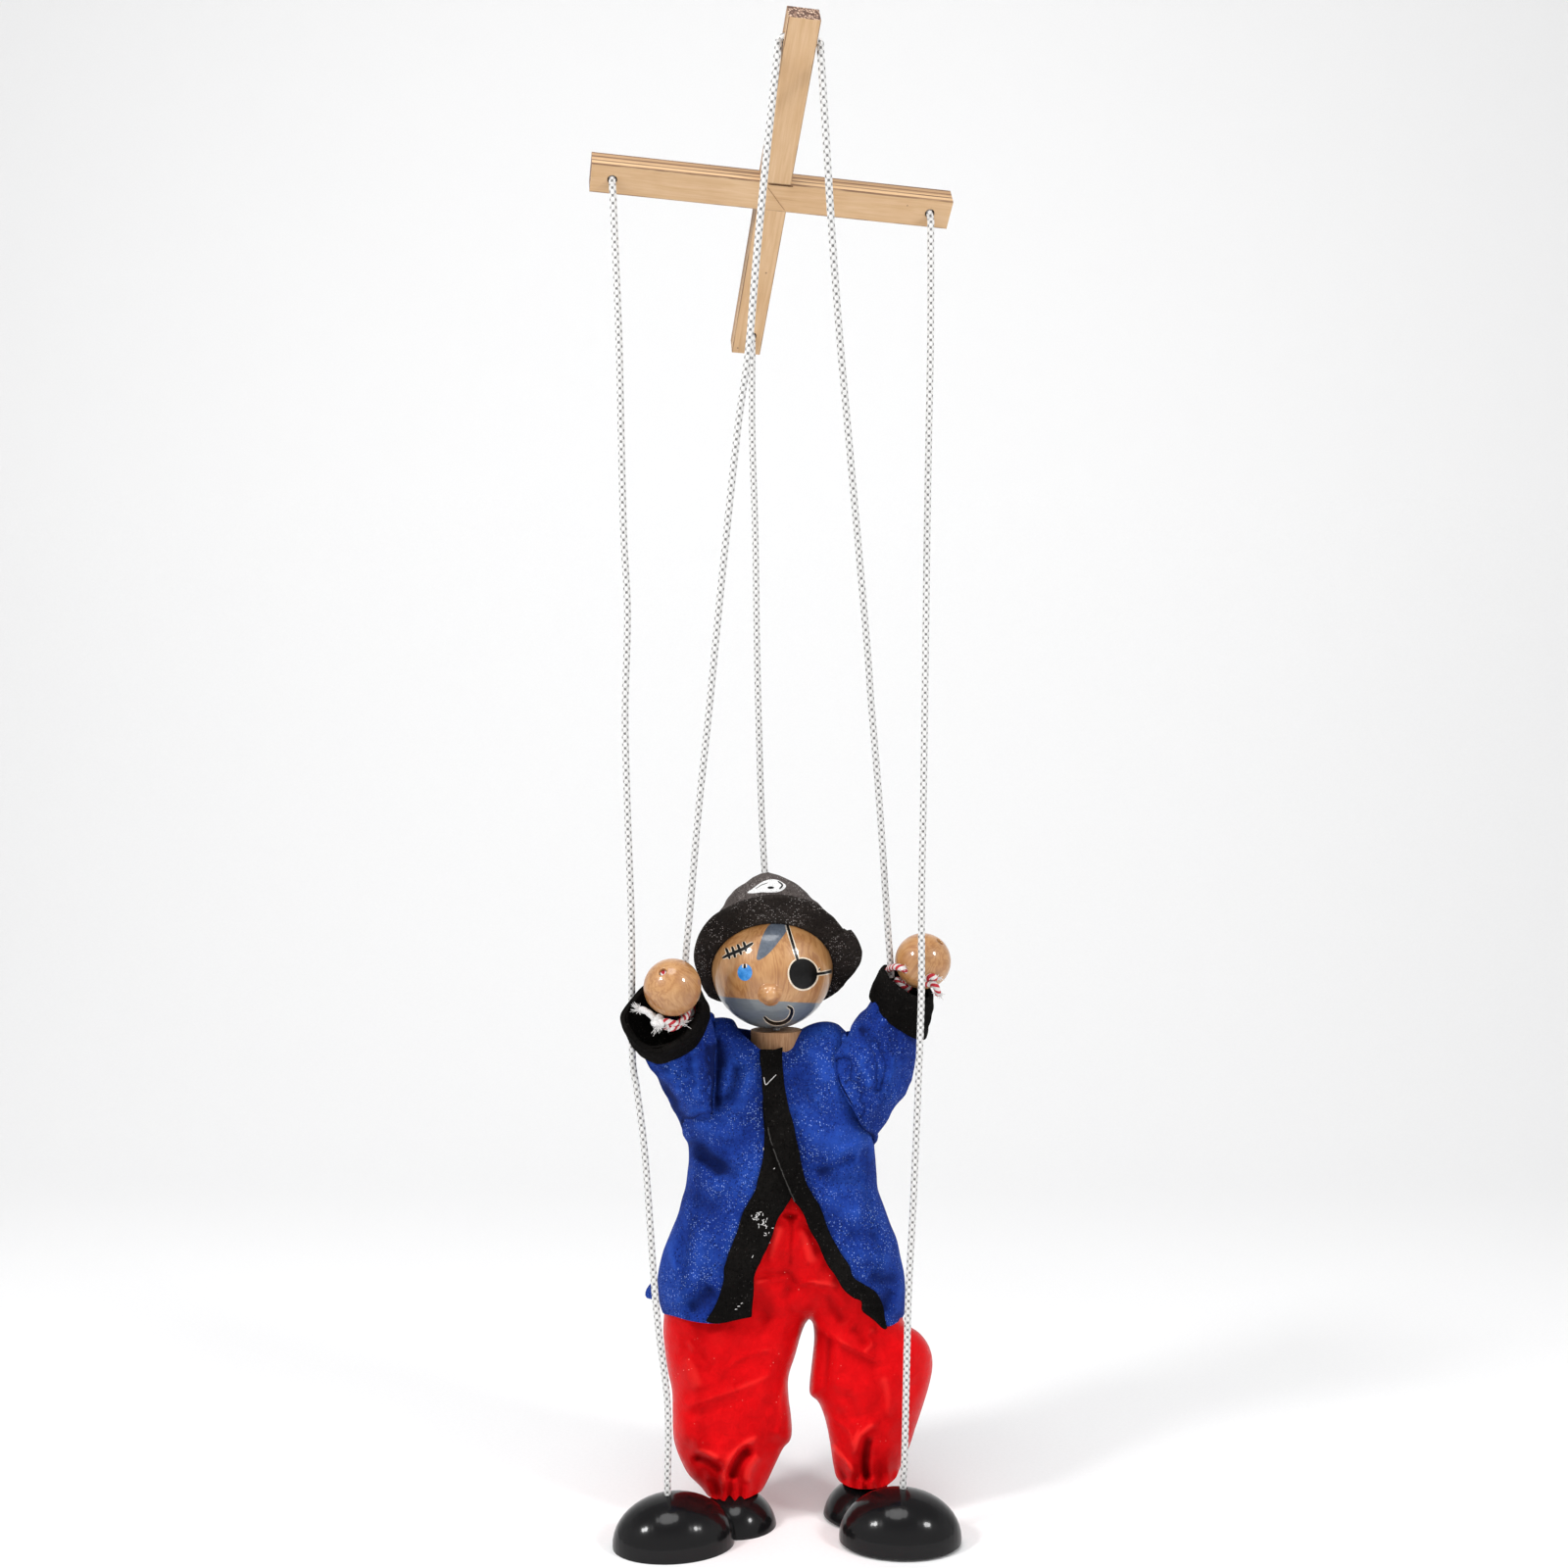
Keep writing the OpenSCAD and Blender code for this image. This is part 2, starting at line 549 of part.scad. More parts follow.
control_bar();
cross_bar();
head_cord_knot();
foot_cord_knots();
hand_cord_bridge();
head_cord();
hand_cord_left();
hand_cord_right();
foot_cord_left();
foot_cord_right();
hand_cord_left_end();
hand_cord_right_end();
foot_cord_left_end();
foot_cord_right_end();
hat_crown();
hat_brim();
head_ball();
nose();
torso_block();
head_cord_core();
arm_twine_core();
leg_twine_core();
jacket_body();
jacket_trim_left();
jacket_trim_right();
pants_seat();
arm_twine_left();
arm_twine_right();
hand_left();
hand_right();
wrist_wrap_left();
wrist_wrap_right();
sleeve_left();
sleeve_right();
cuff_left();
cuff_right();
pants_thigh_left();
pants_thigh_right();
pants_shin_left();
pants_shin_right();
leg_twine_thigh_left();
leg_twine_thigh_right();
leg_twine_shin_left();
leg_twine_shin_right();
shoe_toe_left();
shoe_toe_right();
shoe_heel_left();
shoe_heel_right();
shoe_knot_left();
shoe_knot_right();
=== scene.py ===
"""Looks of the wooden marionette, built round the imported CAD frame.

Lengths are written in millimetres and become metres in make(). Outlines of cloth, felt and paint are written as
points of the 1600 pixel picture, and at() places them at a depth in the row frame.
"""

import math

import bpy
import numpy as np
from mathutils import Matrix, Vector
from mathutils.bvhtree import BVHTree
from mathutils.geometry import delaunay_2d_cdt


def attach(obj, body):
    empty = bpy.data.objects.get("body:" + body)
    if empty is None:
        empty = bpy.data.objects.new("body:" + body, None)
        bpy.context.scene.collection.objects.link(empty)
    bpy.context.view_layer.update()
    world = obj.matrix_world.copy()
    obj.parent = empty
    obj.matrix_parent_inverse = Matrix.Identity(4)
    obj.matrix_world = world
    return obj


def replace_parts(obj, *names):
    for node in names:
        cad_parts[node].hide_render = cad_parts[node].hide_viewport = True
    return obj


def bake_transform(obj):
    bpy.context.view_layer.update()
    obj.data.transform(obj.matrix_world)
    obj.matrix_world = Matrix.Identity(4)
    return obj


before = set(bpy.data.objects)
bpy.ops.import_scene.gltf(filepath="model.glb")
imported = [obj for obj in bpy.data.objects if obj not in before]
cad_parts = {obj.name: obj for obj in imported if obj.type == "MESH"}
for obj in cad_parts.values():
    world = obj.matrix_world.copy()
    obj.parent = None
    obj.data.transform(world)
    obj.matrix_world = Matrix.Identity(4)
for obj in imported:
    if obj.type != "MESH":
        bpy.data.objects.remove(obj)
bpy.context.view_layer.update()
scene = bpy.context.scene
scene.view_settings.view_transform = "Standard"

# ---------------------------------------------------------------- camera, lamps and world

EYE = np.array([3.5, -546.0, -183.5])
FOCAL = 1800.0

camera = bpy.data.objects.new("camera", bpy.data.cameras.new("camera"))
scene.collection.objects.link(camera)
camera.location = EYE * 0.001
camera.rotation_euler = (math.radians(90), 0, 0)
camera.data.lens = 40.5
camera.data.sensor_width = 36
camera.data.clip_start = 0.01
scene.camera = camera


def at(px, py, y):
    """Points of the row frame, in mm, seen at picture point (px, py) at depth y."""
    px, py, y = np.broadcast_arrays(
        np.asarray(px, float), np.asarray(py, float), np.asarray(y, float)
    )
    d = (y - EYE[1]) / FOCAL
    return np.stack([EYE[0] + (px - 800) * d, y, EYE[2] - (py - 800) * d], -1)


def seen(p):
    """Picture points of points of the row frame in mm."""
    d = (p[:, 1] - EYE[1]) / FOCAL
    return np.stack([800 + (p[:, 0] - EYE[0]) / d, 800 - (p[:, 2] - EYE[2]) / d], 1)


def lamp(name, place, aim, size, power, colour=(1, 1, 1)):
    data = bpy.data.lights.new(name, "AREA")
    data.shape, data.size, data.energy, data.color = "DISK", size, power, colour
    o = bpy.data.objects.new(name, data)
    scene.collection.objects.link(o)
    o.location = place
    o.rotation_euler = (
        (Vector(aim) - Vector(place)).to_track_quat("-Z", "Y").to_euler()
    )
    return o


lamp("key_left", (-0.60, -0.42, 0.24), (0, 0.03, -0.30), 0.17, 4.0)
lamp("key_right", (0.62, -0.44, 0.22), (0, 0.03, -0.30), 0.17, 3.0)
lamp("top_soft", (-0.10, -0.35, 0.95), (0, 0.03, -0.25), 0.70, 7.0)

world = bpy.data.worlds.new("studio")
scene.world = world
world.use_nodes = True
wt = world.node_tree
wt.nodes.clear()
w_out = wt.nodes.new("ShaderNodeOutputWorld")
w_bg = wt.nodes.new("ShaderNodeBackground")
w_co = wt.nodes.new("ShaderNodeTexCoord")
w_sep = wt.nodes.new("ShaderNodeSeparateXYZ")
w_abs = wt.nodes.new("ShaderNodeMath")
w_abs.operation = "ABSOLUTE"
w_ramp = wt.nodes.new("ShaderNodeValToRGB")
w_ramp.color_ramp.elements[0].position = 0.42
w_ramp.color_ramp.elements[0].color = (1, 1, 1, 1)
w_ramp.color_ramp.elements[1].position = 0.75
w_ramp.color_ramp.elements[1].color = (0.50, 0.50, 0.51, 1)
wt.links.new(w_co.outputs["Generated"], w_sep.inputs[0])
wt.links.new(w_sep.outputs["Z"], w_abs.inputs[0])
wt.links.new(w_abs.outputs[0], w_ramp.inputs[0])
wt.links.new(w_ramp.outputs[0], w_bg.inputs["Color"])
wt.links.new(w_bg.outputs[0], w_out.inputs["Surface"])
w_bg.inputs["Strength"].default_value = 0.74

# ---------------------------------------------------------------- shader helper


class Shader:
    """A Principled material. co is the place on the surface at rest, in mm."""

    def __init__(self, name, rest=True, **sockets):
        self.mat = bpy.data.materials.new(name)
        self.mat.use_nodes = True
        self.t = self.mat.node_tree
        self.t.nodes.clear()
        out = self.t.nodes.new("ShaderNodeOutputMaterial")
        self.bsdf = self.t.nodes.new("ShaderNodeBsdfPrincipled")
        self.t.links.new(self.bsdf.outputs[0], out.inputs["Surface"])
        for key, value in sockets.items():
            self.bsdf.inputs[key.replace("_", " ")].default_value = value
        if rest:
            a = self.t.nodes.new("ShaderNodeAttribute")
            a.attribute_name = "rest"
            self.co = a.outputs["Vector"]
        else:
            c = self.t.nodes.new("ShaderNodeTexCoord")
            self.co = self.vec("SCALE", c.outputs["Object"], scale=1000.0)

    def put(self, socket, value):
        if isinstance(value, bpy.types.NodeSocket):
            self.t.links.new(value, socket)
        elif value is not None:
            if (
                hasattr(value, "__len__")
                and len(value) == 3
                and socket.type == "RGBA"
            ):
                value = (*value, 1.0)
            socket.default_value = value

    def vec(self, op, a, b=None, scale=None):
        n = self.t.nodes.new("ShaderNodeVectorMath")
        n.operation = op
        self.put(n.inputs[0], a)
        self.put(n.inputs[1], b)
        if scale is not None:
            n.inputs["Scale"].default_value = scale
        return n.outputs["Value" if op in ("DOT_PRODUCT", "LENGTH", "DISTANCE") else 0]

    def math(self, op, a, b=None, c=None, clamp=False):
        n = self.t.nodes.new("ShaderNodeMath")
        n.operation = op
        n.use_clamp = clamp
        for i, v in enumerate((a, b, c)):
            self.put(n.inputs[i], v)
        return n.outputs[0]

    def split(self, v):
        n = self.t.nodes.new("ShaderNodeSeparateXYZ")
        self.put(n.inputs[0], v)
        return n.outputs

    def join(self, x, y, z):
        n = self.t.nodes.new("ShaderNodeCombineXYZ")
        for i, v in enumerate((x, y, z)):
            self.put(n.inputs[i], v)
        return n.outputs[0]

    def stretch(self, v, x, y, z):
        return self.vec("MULTIPLY", v, (x, y, z))

    def kept(self, name):
        """A number kept on the mesh's points."""
        a = self.t.nodes.new("ShaderNodeAttribute")
        a.attribute_name = name
        return a.outputs["Fac"]

    def noise(self, scale, detail=2.0, rough=0.5, co=None, warp=0.0):
        n = self.t.nodes.new("ShaderNodeTexNoise")
        self.put(n.inputs["Vector"], co or self.co)
        n.inputs["Scale"].default_value = scale
        n.inputs["Detail"].default_value = detail
        n.inputs["Roughness"].default_value = rough
        n.inputs["Distortion"].default_value = warp
        return n.outputs["Fac"]

    def cells(self, scale, co=None, feature="F1"):
        n = self.t.nodes.new("ShaderNodeTexVoronoi")
        n.feature = feature
        self.put(n.inputs["Vector"], co or self.co)
        n.inputs["Scale"].default_value = scale
        return n.outputs["Distance"], n.outputs["Color"]

    def span(self, v, a, b, lo=0.0, hi=1.0):
        n = self.t.nodes.new("ShaderNodeMapRange")
        n.interpolation_type = "SMOOTHSTEP"
        self.put(n.inputs["Value"], v)
        n.inputs["From Min"].default_value = a
        n.inputs["From Max"].default_value = b
        n.inputs["To Min"].default_value = lo
        n.inputs["To Max"].default_value = hi
        return n.outputs["Result"]

    def ramp(self, fac, *stops):
        n = self.t.nodes.new("ShaderNodeValToRGB")
        e = n.color_ramp.elements
        while len(e) < len(stops):
            e.new(0.5)
        for i, (p, c) in enumerate(stops):
            e[i].position, e[i].color = p, (*c, 1.0)
        self.put(n.inputs[0], fac)
        return n.outputs[0]

    def mix(self, fac, a, b, kind="MIX"):
        n = self.t.nodes.new("ShaderNodeMix")
        n.data_type = "RGBA"
        n.blend_type = kind
        self.put(n.inputs["Factor"], fac)
        self.put(n.inputs[6], a)
        self.put(n.inputs[7], b)
        return n.outputs[2]

    def set(self, key, value):
        self.put(self.bsdf.inputs[key], value)

    def bump(self, height, amount=1.0):
        """height is in mm"""
        n = self.t.nodes.new("ShaderNodeBump")
        n.inputs["Strength"].default_value = 1.0
        n.inputs["Distance"].default_value = 0.001 * amount
        self.put(n.inputs["Height"], height)
        self.put(self.bsdf.inputs["Normal"], n.outputs[0])


# ---------------------------------------------------------------- mesh helper


def make(name, points, faces, mat, smooth=True, values=None):
    """A mesh object from points in mm. rest keeps each point's place for the materials."""
    points = np.asarray(points, float)
    me = bpy.data.meshes.new(name)
    me.from_pydata((points * 0.001).tolist(), [], [list(map(int, f)) for f in faces])
    a = me.attributes.new("rest", "FLOAT_VECTOR", "POINT")
    a.data.foreach_set("vector", points.astype(np.float32).ravel())
    for key, v in (values or {}).items():
        b = me.attributes.new(key, "FLOAT", "POINT")
        b.data.foreach_set("value", np.asarray(v, np.float32).ravel())
    me.polygons.foreach_set("use_smooth", [smooth] * len(me.polygons))
    me.validate()
    me.update()
    o = bpy.data.objects.new(name, me)
    scene.collection.objects.link(o)
    o.data.materials.append(mat)
    return o


def settle(o):
    """Applies an object's modifiers to its mesh."""
    bpy.context.view_layer.update()
    graph = bpy.context.evaluated_depsgraph_get()
    me = bpy.data.meshes.new_from_object(o.evaluated_get(graph))
    o.modifiers.clear()
    o.data = me
    return o


def thicken(o, mm, offset=-1.0, round_=True):
    m = o.modifiers.new("felt", "SOLIDIFY")
    m.thickness, m.offset = mm * 0.001, offset
    m.use_even_offset = False
    if round_:
        b = o.modifiers.new("edge", "BEVEL")
        b.width, b.segments, b.limit_method = mm * 0.0003, 2, "ANGLE"
        b.angle_limit = math.radians(50)
    settle(o)
    o.data.polygons.foreach_set("use_smooth", [True] * len(o.data.polygons))
    return o


def grid(rows, cols, wrap_rows=False, wrap_cols=False, flip=False):
    """Quads of a grid of points, row after row."""
    f = []
    for i in range(rows if wrap_rows else rows - 1):
        for j in range(cols if wrap_cols else cols - 1):
            i2, j2 = (i + 1) % rows, (j + 1) % cols
            q = [i * cols + j, i2 * cols + j, i2 * cols + j2, i * cols + j2]
            f.append(q[::-1] if flip else q)
    return f


def smooth_line(points, every):
    """Catmull-Rom through the points, resampled to about every mm."""
    p = np.asarray(points, float)
    p = np.vstack([2 * p[0] - p[1], p, 2 * p[-1] - p[-2]])
    out = []
    for i in range(1, len(p) - 2):
        n = max(2, int(np.linalg.norm(p[i + 1] - p[i]) / every * 3))
        t = np.linspace(0, 1, n, endpoint=False)[:, None]
        out.append(
            0.5
            * (
                2 * p[i]
                + (p[i + 1] - p[i - 1]) * t
                + (2 * p[i - 1] - 5 * p[i] + 4 * p[i + 1] - p[i + 2]) * t**2
                + (3 * p[i] - p[i - 1] - 3 * p[i + 1] + p[i + 2]) * t**3
            )
        )
    line = np.vstack([*out, p[-2][None]])
    s = np.concatenate([[0], np.cumsum(np.linalg.norm(np.diff(line, axis=0), axis=1))])
    k = np.linspace(0, s[-1], max(2, int(round(s[-1] / every)) + 1))
    return np.stack([np.interp(k, s, line[:, i]) for i in range(line.shape[1])], 1), k


def frames(line):
    """Directions across a line, without twist."""
    t = np.gradient(line, axis=0)
    t /= np.linalg.norm(t, axis=1)[:, None]
    back = np.array([0.0, 1.0, 0.0]) if abs(t[0][1]) < 0.9 else np.array([0.0, 0.0, 1.0])
    u = back - t[0] * (t[0] @ back)
    u /= np.linalg.norm(u)
    us = [u]
    for i in range(1, len(t)):
        u = us[-1] - t[i] * (us[-1] @ t[i])
        us.append(u / np.linalg.norm(u))
    us = np.array(us)
    return t, us, np.cross(t, us)


def tube(name, line, radius, n, mat, values=None, caps=True):
    """A tube round a line. radius is a number or a function of (s, angle) that returns mm."""
    s = np.concatenate([[0], np.cumsum(np.linalg.norm(np.diff(line, axis=0), axis=1))])
    _, u, v = frames(line)
    a = np.linspace(0, 2 * math.pi, n, endpoint=False)
    S, A = np.meshgrid(s, a, indexing="ij")
    r = radius(S, A) if callable(radius) else np.full(S.shape, float(radius))
    p = (
        line[:, None]
        + r[..., None]
        * (np.cos(A)[..., None] * u[:, None] + np.sin(A)[..., None] * v[:, None])
    ).reshape(-1, 3)
    f = grid(len(line), n, wrap_cols=True, flip=True)
    keep = {"turn_x": np.cos(A).ravel(), "turn_y": np.sin(A).ravel(), "run": S.ravel()}
    if caps:
        for end, row in ((line[0], 0), (line[-1], len(line) - 1)):
            c = len(p)
            p = np.vstack([p, end])
            ring = [row * n + j for j in range(n)]
            f += [
                [ring[(j + 1) % n], ring[j], c][:: 1 if row else -1] for j in range(n)
            ]
            keep = {k: np.append(x, x[row * n]) for k, x in keep.items()}
    return make(name, p, f, mat, values=keep)


def lathe(name, profile, n, origin, axis, mat, dent=None):
    """Turns a profile of (radius, height) points round an axis."""
    axis = np.asarray(axis, float) / np.linalg.norm(axis)
    u = np.cross(axis, [0.0, 1.0, 0.0] if abs(axis[1]) < 0.9 else [1.0, 0, 0])
    u /= np.linalg.norm(u)
    v = np.cross(axis, u)
    a = np.linspace(0, 2 * math.pi, n, endpoint=False)
    r, h = np.asarray(profile, float).T
    ring = np.cos(a)[:, None] * u + np.sin(a)[:, None] * v
    p = (
        np.asarray(origin, float)
        + h[:, None, None] * axis
        + r[:, None, None] * ring[None]
    )
    if dent is not None:
        p = p + dent(p.reshape(-1, 3)).reshape(p.shape)
    return make(
        name, p.reshape(-1, 3), grid(len(r), n, wrap_cols=True, flip=True), mat
    )


def waves(p, size, seed, n=14):
    """A smooth random field over points, about -1 to 1, with features of the given size."""
    rng = np.random.default_rng(seed)
    p = np.asarray(p, float)
    k = rng.normal(size=(n, p.shape[-1]))
    k *= (2 * math.pi / size) * rng.uniform(0.6, 1.3, (n, 1)) / np.linalg.norm(
        k, axis=1
    )[:, None]
    return np.sin(p @ k.T + rng.uniform(0, 7, n)).sum(-1) / math.sqrt(n)


def resample(line, every, closed=False):
    p = np.asarray(line, float)
    if closed:
        p = np.vstack([p, p[0]])
    s = np.concatenate([[0], np.cumsum(np.linalg.norm(np.diff(p, axis=0), axis=1))])
    n = max(2, int(round(s[-1] / every)))
    k = np.linspace(0, s[-1], n + 1)
    if closed:
        k = k[:-1]
    return np.stack([np.interp(k, s, p[:, i]) for i in range(p.shape[1])], 1)


def rounded(outline, every, closed=True):
    """A smoothed copy of an outline of picture points."""
    p = np.asarray(outline, float)
    if closed:
        q = np.vstack([p[-2:], p, p[:3]])
        line, _ = smooth_line(q, every)
        a = np.argmin(np.linalg.norm(line - p[0], axis=1)[: len(line) // 2])
        b = (
            len(line)
            - 1
            - np.argmin(np.linalg.norm(line - p[0], axis=1)[::-1][: len(line) // 2])
        )
        return line[a:b]
    return smooth_line(p, every)[0]


def inside(p, poly):
    x, y = p[:, 0][:, None], p[:, 1][:, None]
    a, b = poly, np.roll(poly, -1, 0)
    cross = (a[:, 1] > y) != (b[:, 1] > y)
    with np.errstate(divide="ignore", invalid="ignore"):
        xi = a[:, 0] + (y - a[:, 1]) * (b[:, 0] - a[:, 0]) / (b[:, 1] - a[:, 1])
    return (cross & (x < xi)).sum(1) % 2 == 1


def near(p, line):
    """Distance to a polyline, the side of it (+ is right of its direction in the picture) and how far along, 0 to 1."""
    line = np.asarray(line, float)
    a, b = line[:-1], line[1:]
    d = b - a
    length = np.linalg.norm(d, axis=1)
    cum = np.concatenate([[0], np.cumsum(length)])
    best = np.full(len(p), 1e9)
    side, t_at = np.zeros(len(p)), np.zeros(len(p))
    for i in range(len(a)):
        w = p - a[i]
        t = np.clip((w @ d[i]) / max(length[i] ** 2, 1e-9), 0, 1)
        q = w - t[:, None] * d[i]
        r = np.linalg.norm(q, axis=1)
        m = r < best
        best[m] = r[m]
        side[m] = np.sign(d[i][0] * w[m, 1] - d[i][1] * w[m, 0])
        t_at[m] = (cum[i] + t[m] * length[i]) / cum[-1]
    return best, side, t_at


def fill(outline, step):
    """Points and triangles that fill a picture outline."""
    edge = resample(outline, step, closed=True)
    lo, hi = edge.min(0), edge.max(0)
    ys = np.arange(lo[1], hi[1], step * 0.866)
    pts = np.array(
        [
            (x, y)
            for i, y in enumerate(ys)
            for x in np.arange(lo[0] + (i % 2) * step / 2, hi[0], step)
        ]
    ).reshape(-1, 2)
    if len(pts):
        pts = pts[inside(pts, edge)]
        closed = np.vstack([edge, edge[:1]])
        pts = pts[near(pts, closed)[0] > 0.6 * step]
    p = np.vstack([edge, pts])
    n = len(edge)
    v, _, f, _, _, _ = delaunay_2d_cdt(
        [Vector(q) for q in p], [(i, (i + 1) % n) for i in range(n)], [], 1, 1e-4
    )
    v = np.array([tuple(q) for q in v])
    f = [t for t in f if len(t) == 3]
    return v, f


def facing(points, faces, direction=(0, -1, 0)):
    """Turns triangles so that most of them face a direction."""
    p = np.asarray(points)
    t = np.array(faces)
    n = np.cross(p[t[:, 1]] - p[t[:, 0]], p[t[:, 2]] - p[t[:, 0]])
    if (n @ np.asarray(direction, float)).sum() < 0:
        t = t[:, ::-1]
    return t.tolist()


def bvh(o):
    bpy.context.view_layer.update()
    me = o.data
    return BVHTree.FromPolygons(
        [v.co * 1000 for v in me.vertices], [list(p.vertices) for p in me.polygons]
    )


def cast(tree, pts, lift):
    """Where the rays through picture points meet a surface, lifted towards the eye."""
    out = []
    eye = Vector(EYE)
    for x, y in pts:
        d = (Vector(at(x, y, 0.0)) - eye).normalized()
        hit, normal, _, _ = tree.ray_cast(eye, d)
        if hit is None:
            hit, normal, _, _ = tree.find_nearest(Vector(at(x, y, 20.0)))
        if normal.dot(d) > 0:
            normal = -normal
        out.append(tuple(hit + normal * lift))
    return np.array(out)


def decal(name, outline, tree, lift, mat, body, step=1.2, raise_=0.05):
    """A thin coat of paint on a surface, from its picture outline."""
    v, f = fill(outline, step)
    p = cast(tree, v, lift)
    o = make(name, p, facing(p, f), mat)
    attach(o, body)
    return o


# ---------------------------------------------------------------- materials


def wood_pale(name, across, along, up, seed, mid, half):
    """Light ply with layers on its narrow sides. across, along and up are the bar's own directions."""
    m = Shader(name, rest=False, Roughness=0.55, Specular_IOR_Level=0.35)
    x = m.vec("DOT_PRODUCT", m.co, tuple(across))
    y = m.vec("DOT_PRODUCT", m.co, tuple(along))
    z = m.vec("DOT_PRODUCT", m.co, tuple(up))
    local = m.join(x, y, z)
    grain = m.noise(
        1.0,
        5,
        0.62,
        co=m.vec("ADD", m.stretch(local, 0.9, 0.045, 0.9), (seed, seed * 2, 0)),
        warp=0.6,
    )
    fine = m.noise(
        1.0, 3, 0.6, co=m.vec("ADD", m.stretch(local, 7.0, 0.22, 7.0), (seed, 0, 0))
    )
    blotch = m.noise(0.06, 2, 0.5, co=m.vec("ADD", m.co, (seed * 3, 0, 0)))
    tone = m.math(
        "ADD",
        m.math("MULTIPLY", grain, 0.62),
        m.math(
            "ADD", m.math("MULTIPLY", fine, 0.22), m.math("MULTIPLY", blotch, 0.30)
        ),
    )
    face = m.ramp(
        tone,
        (0.30, (0.44, 0.250, 0.118)),
        (0.48, (0.60, 0.375, 0.195)),
        (0.62, (0.66, 0.435, 0.245)),
        (0.80, (0.74, 0.52, 0.32)),
    )
    # glue lines between the layers, seen on the narrow sides
    g = m.t.nodes.new("ShaderNodeNewGeometry")
    side = m.span(
        m.math("ABSOLUTE", m.vec("DOT_PRODUCT", g.outputs["True Normal"], tuple(across))),
        0.6,
        0.9,
    )
    end = m.span(
        m.math("ABSOLUTE", m.vec("DOT_PRODUCT", g.outputs["True Normal"], tuple(along))),
        0.6,
        0.9,
    )
    level = m.math(
        "ADD",
        z,
        m.math(
            "MULTIPLY",
            m.math(
                "SUBTRACT",
                m.noise(1.0, 2, 0.5, co=m.stretch(local, 0.2, 0.05, 0.2)),
                0.5,
            ),
            0.35,
        ),
    )
    layer = m.math("PINGPONG", m.math("ADD", level, 0.9), 1.0)
    line = m.span(layer, 0.12, 0.48, 1.0, 0.0)
    band = m.span(
        m.math("SINE", m.math("MULTIPLY", level, 0.9)), -0.5, 0.5, 0.0, 1.0
    )
    edge = m.mix(band, (0.60, 0.385, 0.205), (0.36, 0.205, 0.10))
    edge = m.mix(m.math("MULTIPLY", fine, 0.35), edge, (0.68, 0.48, 0.29))
    edge = m.mix(
        m.math("MULTIPLY", line, m.span(grain, 0.30, 0.62, 0.55, 0.95)),
        edge,
        (0.115, 0.055, 0.028),
    )
    d, _ = m.cells(1.25)
    pores = m.ramp(
        m.math(
            "ADD",
            m.math("MULTIPLY", d, 0.8),
            m.math("MULTIPLY", m.noise(1.8, 2), 0.45),
        ),
        (0.36, (0.74, 0.58, 0.44)),
        (0.50, (0.33, 0.19, 0.125)),
        (0.66, (0.085, 0.04, 0.026)),
    )
    colour = m.mix(side, face, edge)
    # the long edges are darker, in patches
    rim_patches = m.noise(1.0, 2, 0.6, co=m.stretch(local, 0.5, 0.12, 0.5))
    out_x = m.math("ABSOLUTE", m.math("SUBTRACT", x, mid[0]))
    out_z = m.math("ABSOLUTE", m.math("SUBTRACT", z, mid[1]))
    rim = m.math(
        "MINIMUM",
        m.span(out_x, half[0] - 0.42, half[0] - 0.08),
        m.span(out_z, half[1] - 0.42, half[1] - 0.08),
    )
    rim = m.math("MULTIPLY", rim, m.span(rim_patches, 0.38, 0.62, 0.30, 0.80))
    colour = m.mix(rim, colour, (0.17, 0.08, 0.038))
    colour = m.mix(end, colour, pores)
    # small dark specks and a handled look
    s, sc = m.cells(0.11, co=m.vec("ADD", m.co, (seed, 3.7, 1.3)))
    speck = m.span(s, 0.02, 0.045, 1.0, 0.0)
    colour = m.mix(m.math("MULTIPLY", speck, 0.75), colour, (0.16, 0.07, 0.035))
    m.set("Base Color", colour)
    m.set("Roughness", m.span(grain, 0.3, 0.7, 0.62, 0.46))
    m.bump(
        m.math(
            "ADD",
            m.math("MULTIPLY", fine, 0.09),
            m.math("MULTIPLY", m.math("MULTIPLY", line, side), -0.12),
        )
    )
    return m.mat


